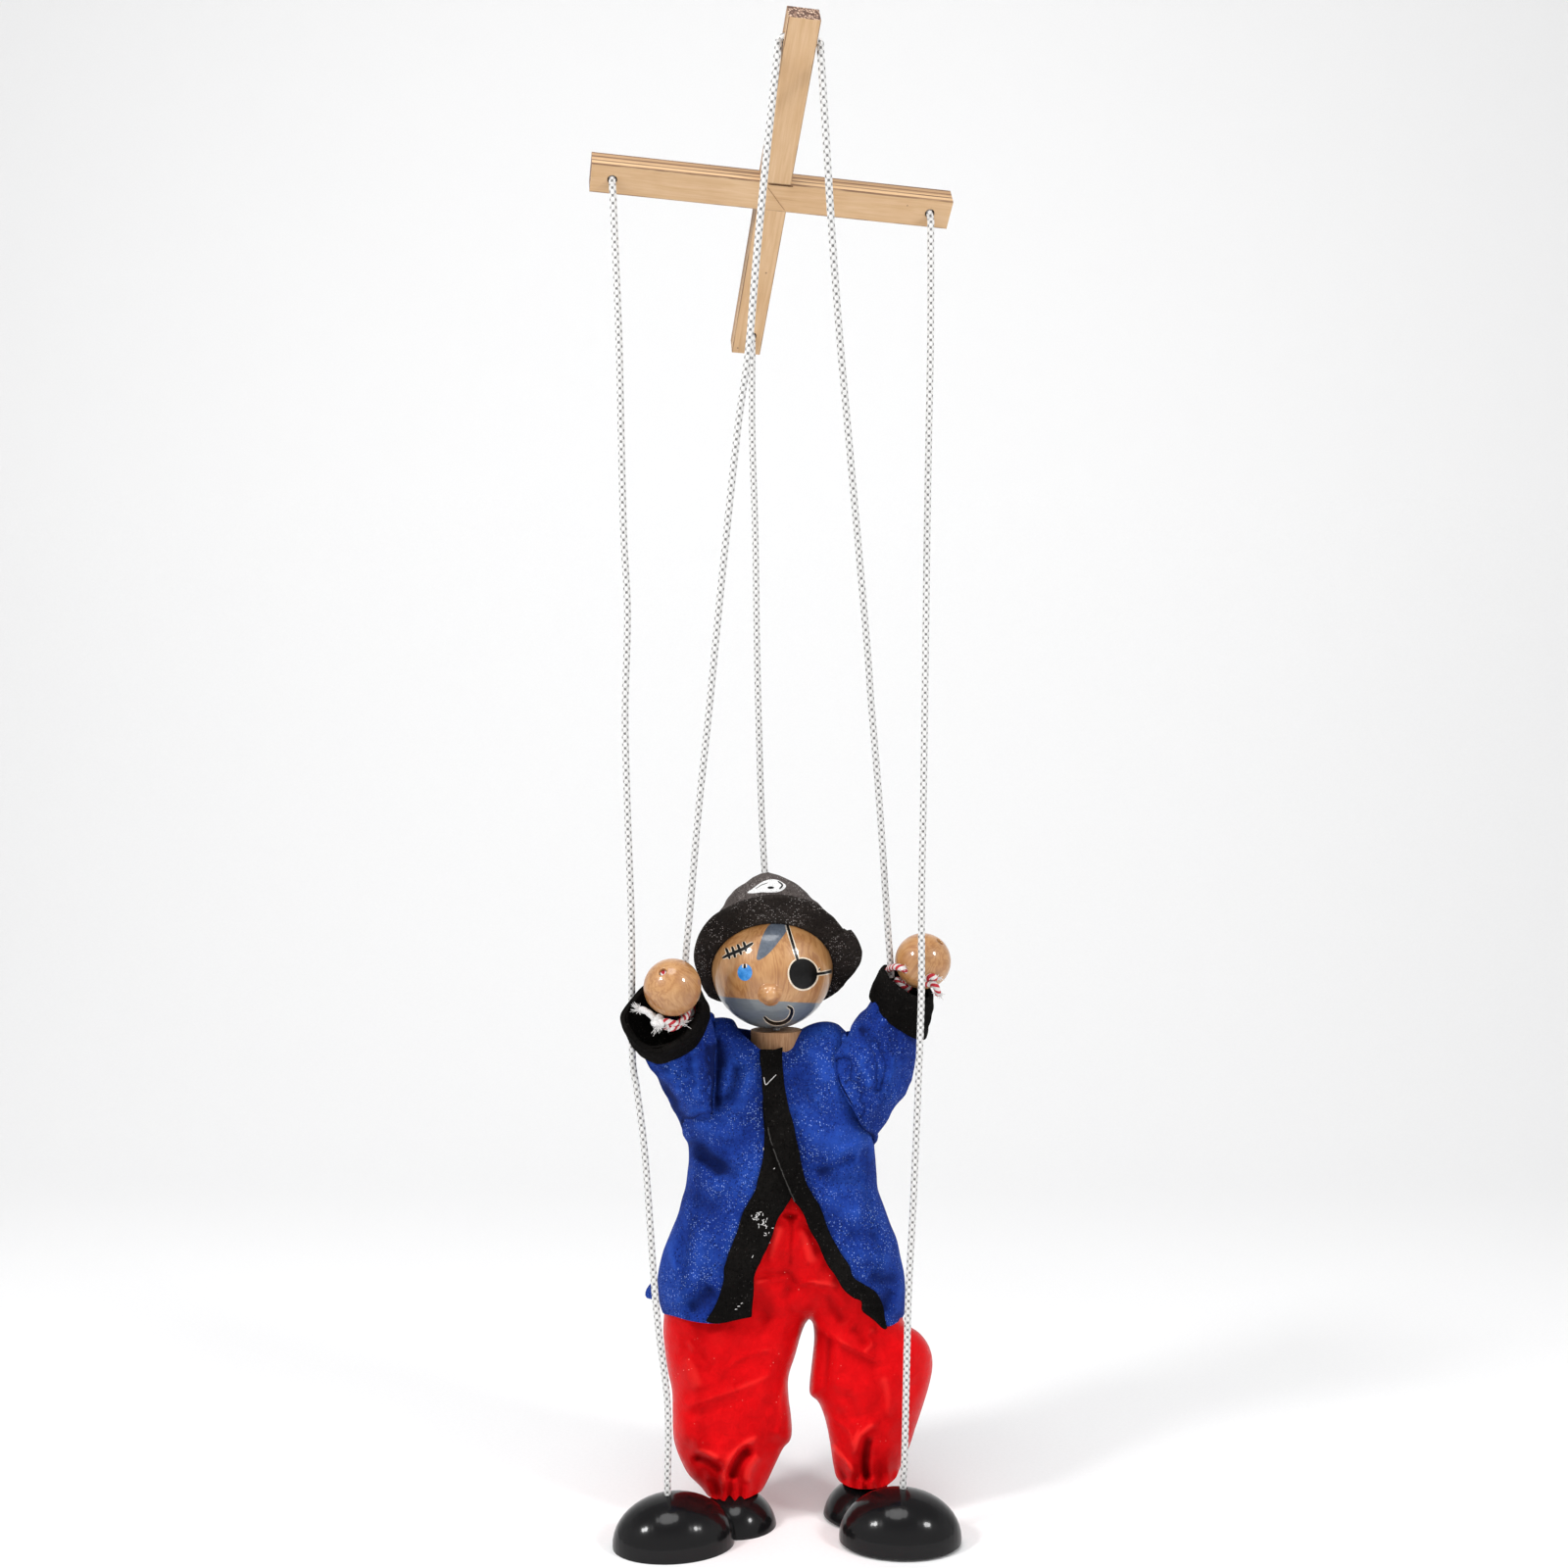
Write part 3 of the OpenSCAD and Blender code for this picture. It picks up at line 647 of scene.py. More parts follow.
def wood_varnished(name, centre, grain_dir, seed, beard=None, warm=0.0):
    """Turned and varnished wood. beard is (normal, offset) of the plane under which it is painted grey."""
    m = Shader(
        name,
        Roughness=0.42,
        Specular_IOR_Level=0.5,
        Coat_Weight=0.65,
        Coat_Roughness=0.05,
        Coat_IOR=1.5,
    )
    p = m.vec("SUBTRACT", m.co, tuple(centre))
    g = np.asarray(grain_dir, float) / np.linalg.norm(grain_dir)
    a = np.cross(g, [0.2, 0.9, 0.3])
    a /= np.linalg.norm(a)
    b = np.cross(g, a)
    local = m.join(
        m.vec("DOT_PRODUCT", p, tuple(a)),
        m.vec("DOT_PRODUCT", p, tuple(b)),
        m.vec("DOT_PRODUCT", p, tuple(g)),
    )
    wide = m.noise(
        1.0,
        3,
        0.55,
        co=m.vec("ADD", m.stretch(local, 0.16, 0.16, 0.028), (seed, 0, 0)),
        warp=0.8,
    )
    rings = m.math(
        "SINE",
        m.math(
            "ADD",
            m.math("MULTIPLY", wide, 46.0),
            m.math("MULTIPLY", m.split(local)[0], 0.9),
        ),
    )
    fine = m.noise(
        1.0, 4, 0.6, co=m.vec("ADD", m.stretch(local, 2.6, 2.6, 0.16), (seed, 0, 3))
    )
    blotch = m.noise(0.11, 3, 0.55, co=m.vec("ADD", m.co, (seed, seed, 0)))
    tone = m.math(
        "ADD",
        m.math("MULTIPLY", m.span(rings, -1, 1), 0.16),
        m.math(
            "ADD", m.math("MULTIPLY", fine, 0.33), m.math("MULTIPLY", blotch, 0.58)
        ),
    )
    w = warm
    colour = m.ramp(
        tone,
        (0.30, (0.275 + w * 0.1, 0.112 - w * 0.02, 0.034)),
        (0.46, (0.375 + w * 0.1, 0.168 - w * 0.03, 0.054)),
        (0.60, (0.450 + w * 0.08, 0.224 - w * 0.04, 0.080)),
        (0.78, (0.540 + w * 0.05, 0.298 - w * 0.05, 0.122)),
    )
    if beard is not None:
        n, off = beard
        h = m.math("SUBTRACT", m.vec("DOT_PRODUCT", p, tuple(n)), off)
        h = m.math(
            "ADD", h, m.math("MULTIPLY", m.math("SUBTRACT", m.noise(0.5, 2), 0.5), 0.35)
        )
        paint = m.span(h, -0.10, 0.10, 1.0, 0.0)
        brush = m.noise(1.0, 3, 0.6, co=m.stretch(m.co, 0.25, 0.25, 2.2))
        grey = m.ramp(
            m.math(
                "ADD", m.math("MULTIPLY", brush, 0.5), m.math("MULTIPLY", blotch, 0.5)
            ),
            (0.35, (0.124, 0.140, 0.150)),
            (0.55, (0.160, 0.180, 0.192)),
            (0.72, (0.200, 0.222, 0.238)),
        )
        colour = m.mix(paint, colour, grey)
    m.set("Base Color", colour)
    m.bump(
        m.math(
            "ADD", m.math("MULTIPLY", fine, 0.02), m.math("MULTIPLY", blotch, 0.25)
        )
    )
    return m.mat


def wood_raw():
    m = Shader("raw_wood", rest=False, Roughness=0.7, Specular_IOR_Level=0.25)
    grain = m.noise(1.0, 4, 0.6, co=m.stretch(m.co, 1.2, 1.2, 0.09), warp=0.5)
    fine = m.noise(1.0, 3, 0.6, co=m.stretch(m.co, 6.0, 6.0, 0.4))
    tone = m.math("ADD", m.math("MULTIPLY", grain, 0.7), m.math("MULTIPLY", fine, 0.3))
    m.set(
        "Base Color",
        m.ramp(
            tone,
            (0.35, (0.210, 0.105, 0.050)),
            (0.52, (0.360, 0.195, 0.098)),
            (0.70, (0.480, 0.285, 0.160)),
        ),
    )
    m.bump(m.math("MULTIPLY", fine, 0.12))
    return m.mat


def felt(name, dark, mid, light, fleck, flecks=0.5, lint=0.0, sheen=0.25, tint=None, spec=0.12):
    """Pressed felt: matted fibres, painted glints as pale flecks where the nap catches light, and pits with painted
    shade in them.
    """
    m = Shader(
        name,
        Roughness=0.95,
        Specular_IOR_Level=spec,
        Sheen_Weight=sheen,
        Sheen_Roughness=0.45,
    )
    m.bsdf.inputs["Sheen Tint"].default_value = (*(tint or light), 1.0)
    big = m.noise(0.055, 3, 0.55)
    mat_ = m.noise(0.9, 4, 0.65, warp=0.4)
    fibre = m.noise(1.0, 3, 0.7, co=m.stretch(m.co, 4.2, 4.2, 2.4), warp=1.6)
    tone = m.math(
        "ADD",
        m.math("MULTIPLY", big, 0.45),
        m.math(
            "ADD", m.math("MULTIPLY", mat_, 0.35), m.math("MULTIPLY", fibre, 0.28)
        ),
    )
    colour = m.ramp(tone, (0.36, dark), (0.53, mid), (0.74, light))
    d, c = m.cells(1.75, co=m.vec("ADD", m.co, (7.1, 1.9, 4.4)))
    keep = m.span(m.split(c)[0], 0.985 - 0.42 * flecks, 1.0 - 0.38 * flecks)
    here = m.span(m.noise(0.10, 2, 0.6, co=m.vec("ADD", m.co, (31, 7, 2))), 0.36, 0.60)
    bright = m.math(
        "MULTIPLY",
        m.span(d, 0.22, 0.38, 1.0, 0.0),
        m.math("MULTIPLY", keep, here),
    )
    fold = m.kept("fold")
    # the painted glints fade in the creases, as painted shade
    bright = m.math("MULTIPLY", bright, m.span(fold, -0.9, 0.35, 0.25, 1.0))
    colour = m.mix(m.math("MULTIPLY", bright, 0.80), colour, fleck)
    # painted shade in the pits between the matted fibres
    d2, c2 = m.cells(1.45)
    pit = m.math(
        "MULTIPLY",
        m.span(d2, 0.20, 0.42, 1.0, 0.0),
        m.span(m.split(c2)[1], 0.30, 0.62),
    )
    colour = m.mix(
        m.math("MULTIPLY", pit, 0.75), colour, tuple(0.35 * x for x in dark)
    )
    # painted shade in the creases and painted highlight on the crests of the folds
    colour = m.mix(
        m.span(m.math("MULTIPLY", fold, -1.0), 0.3, 3.0, 0.0, 0.82), colour, tuple(0.45 * x for x in dark)
    )
    colour = m.mix(m.span(fold, 0.35, 2.2, 0.0, 0.42), colour, tuple(1.3 * x for x in light))
    if lint:
        d3, c3 = m.cells(0.75, co=m.vec("ADD", m.co, (2.2, 9.1, 5.5)))
        white = m.math(
            "MULTIPLY",
            m.span(d3, 0.05, 0.13, 1.0, 0.0),
            m.span(m.split(c3)[2], 1.0 - lint, 1.02 - lint),
        )
        colour = m.mix(white, colour, (0.75, 0.75, 0.74))
    m.set("Base Color", colour)
    m.bump(
        m.math(
            "ADD",
            m.math("MULTIPLY", fibre, 0.20),
            m.math(
                "ADD",
                m.math("MULTIPLY", mat_, 0.45),
                m.math("MULTIPLY", pit, -0.16),
            ),
        )
    )
    return m.mat


def satin():
    m = Shader(
        "red_satin",
        Roughness=0.42,
        Specular_IOR_Level=0.13,
    )
    m.bsdf.inputs["Specular Tint"].default_value = (1.0, 0.10, 0.08, 1.0)
    x, y, z = m.split(m.co)[0], m.split(m.co)[1], m.split(m.co)[2]
    warp_ = m.math("SINE", m.math("MULTIPLY", m.math("ADD", x, y), 21.0))
    weft = m.math("SINE", m.math("MULTIPLY", z, 19.0))
    weave = m.math("MULTIPLY", warp_, weft)
    big = m.noise(0.06, 3, 0.5)
    crush = m.noise(0.42, 4, 0.6, warp=1.3)
    tone = m.math(
        "ADD",
        m.math("MULTIPLY", big, 0.5),
        m.math("MULTIPLY", crush, 0.5),
    )
    colour = m.ramp(
        tone,
        (0.30, (0.49, 0.0026, 0.0042)),
        (0.52, (0.61, 0.0040, 0.0062)),
        (0.72, (0.70, 0.0058, 0.0080)),
    )
    fold = m.kept("fold")
    # painted shade in the creases and painted highlight on the crests of the folds
    colour = m.mix(
        m.span(m.math("MULTIPLY", fold, -1.0), 0.4, 3.9, 0.0, 0.88), colour, (0.15, 0.0004, 0.0016)
    )
    colour = m.mix(m.span(fold, 0.3, 1.7, 0.0, 0.70), colour, (0.90, 0.030, 0.026))
    # painted glints where the satin's sheen catches light
    d, c = m.cells(1.1, co=m.vec("ADD", m.co, (1.7, 3.2, 8.4)))
    glint = m.math(
        "MULTIPLY",
        m.math(
            "MULTIPLY", m.span(d, 0.12, 0.24, 1.0, 0.0), m.span(m.split(c)[0], 0.9, 0.95)
        ),
        m.span(m.noise(0.09, 2, 0.6, co=m.vec("ADD", m.co, (4, 4, 9))), 0.52, 0.66),
    )
    colour = m.mix(m.math("MULTIPLY", glint, 0.6), colour, (0.95, 0.42, 0.36))
    m.set("Base Color", colour)
    m.set("Roughness", m.span(crush, 0.3, 0.7, 0.34, 0.50))
    m.bump(
        m.math(
            "ADD",
            m.math("MULTIPLY", weave, 0.006),
            m.math("MULTIPLY", crush, 0.13),
        )
    )
    return m.mat


def gloss_black():
    m = Shader(
        "black_gloss",
        Roughness=0.34,
        Specular_IOR_Level=0.12,
        Coat_Weight=0.30,
        Coat_Roughness=0.09,
        Coat_IOR=1.45,
    )
    pool = m.noise(0.10, 3, 0.5)
    peel = m.noise(0.8, 3, 0.5)
    m.set(
        "Base Color",
        m.ramp(
            pool,
            (0.35, (0.0025, 0.0025, 0.0028)),
            (0.65, (0.008, 0.0075, 0.008)),
        ),
    )
    dust, c = m.cells(0.34)
    fleck = m.math(
        "MULTIPLY",
        m.span(dust, 0.015, 0.05, 1.0, 0.0),
        m.span(m.split(c)[0], 0.72, 0.76),
    )
    m.set(
        "Roughness",
        m.math(
            "ADD",
            m.span(m.noise(0.5, 4, 0.6), 0.3, 0.7, 0.15, 0.30),
            m.math("MULTIPLY", fleck, 0.4),
        ),
    )
    m.bump(
        m.math(
            "ADD",
            m.math("MULTIPLY", peel, 0.045),
            m.math(
                "ADD", m.math("MULTIPLY", pool, 0.30), m.math("MULTIPLY", fleck, 0.10)
            ),
        )
    )
    return m.mat


BRAID_RUN, BRAID_N = 2.3, 3


def braid_material():
    """White braid; its strands are in turn and run, kept on the tube."""
    m = Shader("white_braid", Roughness=0.8, Specular_IOR_Level=0.25)
    m.bsdf.inputs["Sheen Weight"].default_value = 0.3

    kept = m.kept
    turn, run = m.math("ARCTAN2", kept("turn_y"), kept("turn_x")), kept("run")
    a = m.math("MULTIPLY", turn, BRAID_N / (2 * math.pi))
    b = m.math("MULTIPLY", run, 1.0 / BRAID_RUN)
    u, v = m.math("ADD", a, b), m.math("SUBTRACT", a, b)
    du = m.math("PINGPONG", u, 0.5)
    dv = m.math("PINGPONG", v, 0.5)
    # gaps sit where both families of strands have an edge; the seams and gaps get painted shade
    gap = m.span(
        m.math("SQRT", m.math("ADD", m.math("POWER", du, 2), m.math("POWER", dv, 2))),
        0.15,
        0.33,
        1.0,
        0.0,
    )
    seam = m.span(m.math("MINIMUM", du, dv), 0.0, 0.16, 1.0, 0.0)
    yarn = m.noise(3.5, 2, 0.6)
    colour = m.ramp(
        yarn, (0.3, (0.60, 0.595, 0.585)), (0.55, (0.74, 0.735, 0.725)), (0.8, (0.84, 0.84, 0.83))
    )
    # painted shade between the strands: grey in the seams, near black in the gaps
    colour = m.mix(m.math("MULTIPLY", seam, 0.42), colour, (0.34, 0.33, 0.325))
    colour = m.mix(m.math("MULTIPLY", gap, 0.86), colour, (0.12, 0.116, 0.112))
    m.set("Base Color", colour)
    m.bump(
        m.math(
            "ADD",
            m.math("MULTIPLY", seam, -0.10),
            m.math(
                "ADD", m.math("MULTIPLY", gap, -0.22), m.math("MULTIPLY", yarn, 0.10)
            ),
        )
    )
    return m.mat


def twine_material():
    """Red and white plies laid side by side."""
    m = Shader("striped_twine", Roughness=0.85, Specular_IOR_Level=0.2)

    def kept(name):
        a = m.t.nodes.new("ShaderNodeAttribute")
        a.attribute_name = name
        return a.outputs["Fac"]

    u = m.math(
        "ADD",
        m.math(
            "MULTIPLY",
            m.math("ARCTAN2", kept("turn_y"), kept("turn_x")),
            2.0 / (2 * math.pi),
        ),
        m.math("MULTIPLY", kept("run"), 0.42),
    )
    ply = m.math("PINGPONG", u, 0.5)
    red = m.span(ply, 0.24, 0.30)
    yarn = m.noise(3.0, 3, 0.6)
    white = m.ramp(yarn, (0.3, (0.58, 0.53, 0.51)), (0.7, (0.86, 0.83, 0.81)))
    crimson = m.ramp(yarn, (0.3, (0.30, 0.012, 0.022)), (0.7, (0.62, 0.045, 0.06)))
    m.set("Base Color", m.mix(red, white, crimson))
    m.bump(m.math("MULTIPLY", yarn, 0.25))
    return m.mat


def twine_plain():
    """The same twine on CAD parts, striped across by place."""
    m = Shader("striped_twine_core", rest=False, Roughness=0.85, Specular_IOR_Level=0.2)
    w = m.math("SINE", m.math("MULTIPLY", m.vec("DOT_PRODUCT", m.co, (1.6, 0.9, 2.4)), 1.0))
    yarn = m.noise(3.0, 3, 0.6)
    white = m.ramp(yarn, (0.3, (0.58, 0.53, 0.51)), (0.7, (0.86, 0.83, 0.81)))
    crimson = m.ramp(yarn, (0.3, (0.30, 0.012, 0.022)), (0.7, (0.62, 0.045, 0.06)))
    m.set("Base Color", m.mix(m.span(w, -0.1, 0.1), white, crimson))
    m.bump(m.math("MULTIPLY", yarn, 0.25))
    return m.mat


def lint_material():
    m = Shader("white_lint", Roughness=0.9, Specular_IOR_Level=0.2)
    y = m.noise(2.5, 3, 0.6)
    m.set(
        "Base Color", m.ramp(y, (0.3, (0.52, 0.50, 0.49)), (0.7, (0.88, 0.87, 0.86)))
    )
    m.bump(m.math("MULTIPLY", y, 0.2))
    return m.mat


def paint(name, low, high, rough=0.3, coat=1.0, grain=0.9, spec=0.5):
    """Brushed-on enamel under varnish, never quite even."""
    m = Shader(
        name,
        Roughness=rough,
        Coat_Weight=coat,
        Coat_Roughness=0.05,
        Specular_IOR_Level=spec,
    )
    y = m.noise(grain, 3, 0.6, warp=0.5)
    m.set("Base Color", m.ramp(y, (0.32, low), (0.68, high)))
    m.bump(m.math("MULTIPLY", y, 0.03))
    return m.mat


def cord_plain():
    m = Shader("white_cord_core", rest=False, Roughness=0.8, Specular_IOR_Level=0.25)
    y = m.noise(1.9, 3, 0.6)
    m.set(
        "Base Color", m.ramp(y, (0.35, (0.42, 0.41, 0.40)), (0.6, (0.82, 0.82, 0.81)))
    )
    m.bump(m.math("MULTIPLY", y, 0.35))
    return m.mat


BRAID, TWINE, TWINE_CAD, CORD_CAD = (
    braid_material(),
    twine_material(),
    twine_plain(),
    cord_plain(),
)
LINT = lint_material()
SATIN, GLOSS, RAW = satin(), gloss_black(), wood_raw()
BLUE = felt(
    "blue_felt",
    (0.004, 0.012, 0.105),
    (0.008, 0.031, 0.230),
    (0.022, 0.080, 0.420),
    (0.32, 0.47, 0.90),
    flecks=1.02,
    sheen=0.07,
)
BLACK = felt(
    "black_felt",
    (0.0028, 0.0026, 0.0025),
    (0.0058, 0.0052, 0.0048),
    (0.0130, 0.0115, 0.0105),
    (0.060, 0.055, 0.052),
    flecks=0.34,
    sheen=0.0,
    spec=0.03,
)
HAT = felt(
    "hat_felt",
    (0.007, 0.0055, 0.005),
    (0.020, 0.016, 0.014),
    (0.050, 0.041, 0.037),
    (0.60, 0.56, 0.54),
    flecks=1.12,
    sheen=0.10,
)
# the crown is the same black felt in a lighter copy, painted light on the top of the hat
CROWN_FELT_LIT = felt(
    "hat_crown_felt_lit",
    (0.030, 0.024, 0.023),
    (0.080, 0.067, 0.063),
    (0.165, 0.142, 0.134),
    (0.62, 0.58, 0.56),
    flecks=1.15,
    sheen=0.12,
)

# ---------------------------------------------------------------- cords, along the CAD routes (mm)

HEAD_ROUTE = [
    [-7, 36, -37.5], [-7, 36.2, -68], [-6, 36.4, -101], [-5.5, 36.6, -134], [-5, 36.8, -158],
    [-4, 37, -191], [-3, 37, -211], [-2.65, 37, -214.2],
]
FOOT_LEFT = [
    [-48.5, -11.3, -1.8], [-47, -7, -46], [-46.5, -4.5, -76], [-46, -1.5, -106], [-45, 0.5, -131],
    [-46, 3.5, -162], [-45.5, 6, -191], [-44.5, 9.5, -230], [-44.5, 12, -268], [-43, 12.5, -281],
    [-40.5, 13, -302], [-37, 13.5, -350], [-33.5, 14, -380], [-33.5, 14.5, -405],
    [-33.5, 14.5, -414], [-33.5, 14.5, -422.4],
]
FOOT_RIGHT = [
    [49.5, 6.8, -6.5], [49.5, 7.5, -42], [49, 8.3, -73], [48.5, 9, -105], [48, 10.3, -152],
    [47.5, 11.3, -191], [47, 12, -223], [47, 12.6, -250], [46, 13.5, -281], [44.5, 14.5, -318],
    [43, 15.5, -350], [42, 16.5, -397], [41.5, 17, -406], [41.5, 17, -414], [41.5, 17, -421.4],
]
HAND_LEFT = [
    [2, -36.8, 31.2], [-1.5, -31.5, 1], [-4.5, -26, -27], [-7, -21.5, -54], [-10.5, -17, -78],
    [-15.5, -9.5, -122], [-19.5, -3, -160], [-23, 2.5, -191], [-26, 9.5, -222],
    [-27.6, 13, -238], [-27.3, 14, -244], [-27, 14.8, -250],
]
HAND_RIGHT = [
    [14, -35, 30.8], [16, -30.5, 2], [18, -23.5, -25], [20.5, -16.5, -53], [23, -10.5, -77],
    [29, 3.5, -136], [31, 9, -159], [34, 16, -191], [36.5, 23, -223], [37.5, 26, -235],
    [38, 27, -241], [38.3, 27.6, -246.4],
]


def braid_radius(s, a):
    u = BRAID_N * a / (2 * math.pi) + s / BRAID_RUN
    v = BRAID_N * a / (2 * math.pi) - s / BRAID_RUN
    return 0.95 + 0.21 * np.sqrt(np.abs(np.sin(math.pi * u) * np.sin(math.pi * v)))


def cord(name, route, body, far=None):
    line, s = smooth_line(route, 0.42)
    o = tube(name, line, braid_radius, 14, BRAID)
    if far:
        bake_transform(o)
    else:
        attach(o, body)
    return o


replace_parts(cord("head_cord_braid", HEAD_ROUTE, "head_line"), "head_cord")
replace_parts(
    cord("foot_cord_left_braid", FOOT_LEFT, "foot_line_left", "foot_line_left_end"),
    "foot_cord_left", "foot_cord_left_end",
)
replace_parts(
    cord("foot_cord_right_braid", FOOT_RIGHT, "foot_line_right", "foot_line_right_end"),
    "foot_cord_right", "foot_cord_right_end",
)
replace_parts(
    cord("hand_cord_left_braid", HAND_LEFT, "hand_line_left", "hand_line_left_end"),
    "hand_cord_left", "hand_cord_left_end",
)
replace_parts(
    cord("hand_cord_right_braid", HAND_RIGHT, "hand_line_right", "hand_line_right_end"),
    "hand_cord_right", "hand_cord_right_end",
)

# ---------------------------------------------------------------- control


def turned(axis, deg):
    c, s = math.cos(math.radians(deg)), math.sin(math.radians(deg))
    return np.array(
        {
            "x": [[1, 0, 0], [0, c, -s], [0, s, c]],
            "y": [[c, 0, s], [0, 1, 0], [-s, 0, c]],
            "z": [[c, -s, 0], [s, c, 0], [0, 0, 1]],
        }[axis]
    )


CONTROL = turned("z", 10.18) @ turned("y", 2.63) @ turned("x", -40.75)


def dress(node, mat, bevel=0.0, segments=3, angle=30, flat=False):
    """Gives a CAD node a material, and a softened edge."""
    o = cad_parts[node]
    o.data.materials.clear()
    o.data.materials.append(mat)
    if flat:
        o.data.polygons.foreach_set("use_smooth", [False] * len(o.data.polygons))
    if bevel:
        w = o.modifiers.new("weld", "WELD")
        w.merge_threshold = 1e-6
        b = o.modifiers.new("edge", "BEVEL")
        b.width, b.segments, b.limit_method = bevel * 0.001, segments, "ANGLE"
        b.angle_limit = math.radians(angle)
        b.harden_normals = False
    return o


dress(
    "control_bar",
    wood_pale("ply_long", CONTROL[:, 0], CONTROL[:, 1], CONTROL[:, 2], 3.0, (0, 0), (4.7, 3.3)),
    flat=True,
)
dress(
    "cross_bar",
    wood_pale("ply_cross", CONTROL[:, 1], CONTROL[:, 0], CONTROL[:, 2], 11.0, (0, 0), (4.7, 3.3)),
    flat=True,
)


def knot(name, seat, axis, size, body, mat=BRAID, stem=None, seed=0, r=None, tail=2.6):
    """An overhand knot of cord on a seat, with its stem and a short cut tail."""
    axis = np.asarray(axis, float) / np.linalg.norm(axis)
    u = np.cross(axis, [0.3, 0.2, 0.9] if abs(axis[2]) < 0.9 else [1.0, 0.1, 0.2])
    u /= np.linalg.norm(u)
    v = np.cross(axis, u)
    t = np.linspace(0.35, 2 * math.pi - 0.35, 15) + seed
    k = np.stack(
        [
            np.sin(t) + 2 * np.sin(2 * t),
            np.cos(t) - 2 * np.cos(2 * t),
            -1.15 * np.sin(3 * t),
        ],
        1,
    ) * (size / 3)
    k = k[:, :1] * u + k[:, 1:2] * v + k[:, 2:] * axis + np.asarray(seat, float)
    line = k
    if stem is not None:
        line = np.vstack([np.asarray(stem, float), k])
    out = k[-1] - np.asarray(seat, float)
    out = out / np.linalg.norm(out) + 0.5 * axis
    line = np.vstack([line, k[-1] + out / np.linalg.norm(out) * tail])
    line, _ = smooth_line(line, 0.35)
    rad = r or (lambda s, a: braid_radius(s, a) * 0.98)
    o = tube(name, line, rad, 12, mat)
    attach(o, body)
    return o


def control_point(x, y, z):
    return CONTROL @ np.array([x, y, z], float)


o = knot(
    "head_cord_bar_knot",
    control_point(1, 51, 6.0),
    CONTROL[:, 2],
    1.75,
    "control",
    stem=[[-7, 36, -37.7], control_point(1, 51, -3.0), control_point(1, 51, 0.5), control_point(1, 51, 3.6)],
)
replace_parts(o, "head_cord_knot")
left = knot(
    "foot_cord_bar_knot_left",
    control_point(-49.7, 0, 6.0),
    CONTROL[:, 2],
    1.75,
    "control",
    stem=[[-48.5, -11.3, -2.2], control_point(-49.7, 0, -3.0), control_point(-49.7, 0, 0.5), control_point(-49.7, 0, 3.6)],
    seed=0.8,
)
right = knot(
    "foot_cord_bar_knot_right",
    control_point(49.7, 0, 6.0),
    CONTROL[:, 2],
    1.75,
    "control",
    stem=[[49.5, 6.8, -6.9], control_point(49.7, 0, -3.0), control_point(49.7, 0, 0.5), control_point(49.7, 0, 3.6)],
    seed=2.4,
)
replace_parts(left, "foot_cord_knots")
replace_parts(right, "foot_cord_knots")
bridge, _ = smooth_line(
    [[2.2, -36.6, 30.4], [2.6, -36.5, 31.6], control_point(-4.2, -49, 0), control_point(0, -49, 0),
     control_point(4.2, -49, 0), [13.9, -34.9, 31.3], [14.1, -35, 30.2]],
    0.35,
)
o = tube("hand_cord_bridge_braid", bridge, braid_radius, 14, BRAID)
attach(o, "control")
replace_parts(o, "hand_cord_bridge")

# ---------------------------------------------------------------- head

NECK = np.array([1.0, 37.0, -264.4])
LEAN = turned("y", -4)
BALL = NECK + LEAN @ np.array([0, 0, 20.3])
HEAD_UP = LEAN @ np.array([0, 0, 1.0])


def ball_profile(r, hole, rows=64, rim=0.35):
    """Outline of a turned ball, drilled along its axis, with eased rims."""
    a0 = math.asin((hole + rim) / r)
    t = np.linspace(a0, math.pi - a0, rows)
    arc = [(r * math.sin(x), -r * math.cos(x)) for x in t]
    h = r * math.cos(a0)
    return (
        [(hole, 0.0), (hole, -h * 0.5), (hole, -h + rim), (hole + rim * 0.35, -h + rim * 0.3)]
        + arc
        + [(hole + rim * 0.35, h - rim * 0.3), (hole, h - rim), (hole, h * 0.5)]
    )


def lathe_closed(name, profile, n, origin, axis, mat, dent=None):
    o = lathe(name, list(profile) + [profile[0]], n, origin, axis, mat, dent)
    w = o.modifiers.new("weld", "WELD")
    w.merge_threshold = 1e-6
    settle(o)
    o.data.polygons.foreach_set("use_smooth", [True] * len(o.data.polygons))
    return o


def plane_through(points):
    """Plane through three picture points taken on the front of the head ball, as (normal, offset) from its centre."""
    q = []
    for x, y in points:
        d = at(x, y, 0.0) - EYE
        d /= np.linalg.norm(d)
        w = EYE - BALL
        b = w @ d
        disc = max(b * b - (w @ w - 400.0), 0)
        q.append(w + d * (-b - math.sqrt(disc)))
    n = np.cross(q[1] - q[0], q[2] - q[0])
    n /= np.linalg.norm(n)
    if n[2] < 0:
        n = -n
    return n, float(n @ q[0])


head = lathe_closed(
    "head_wood",
    ball_profile(20.0, 1.4, 90),
    150,
    BALL,
    HEAD_UP,
    wood_varnished(
        "head_varnish", BALL, HEAD_UP, 2.0,
        beard=plane_through([(742, 1017.3), (797, 1021.8), (840, 1023.3)]),
    ),
)
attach(head, "head")
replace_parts(head, "head_ball")
head_tree = bvh(head)


def head_point(x, y, z):
    return BALL + LEAN @ np.array([x, y, z], float)


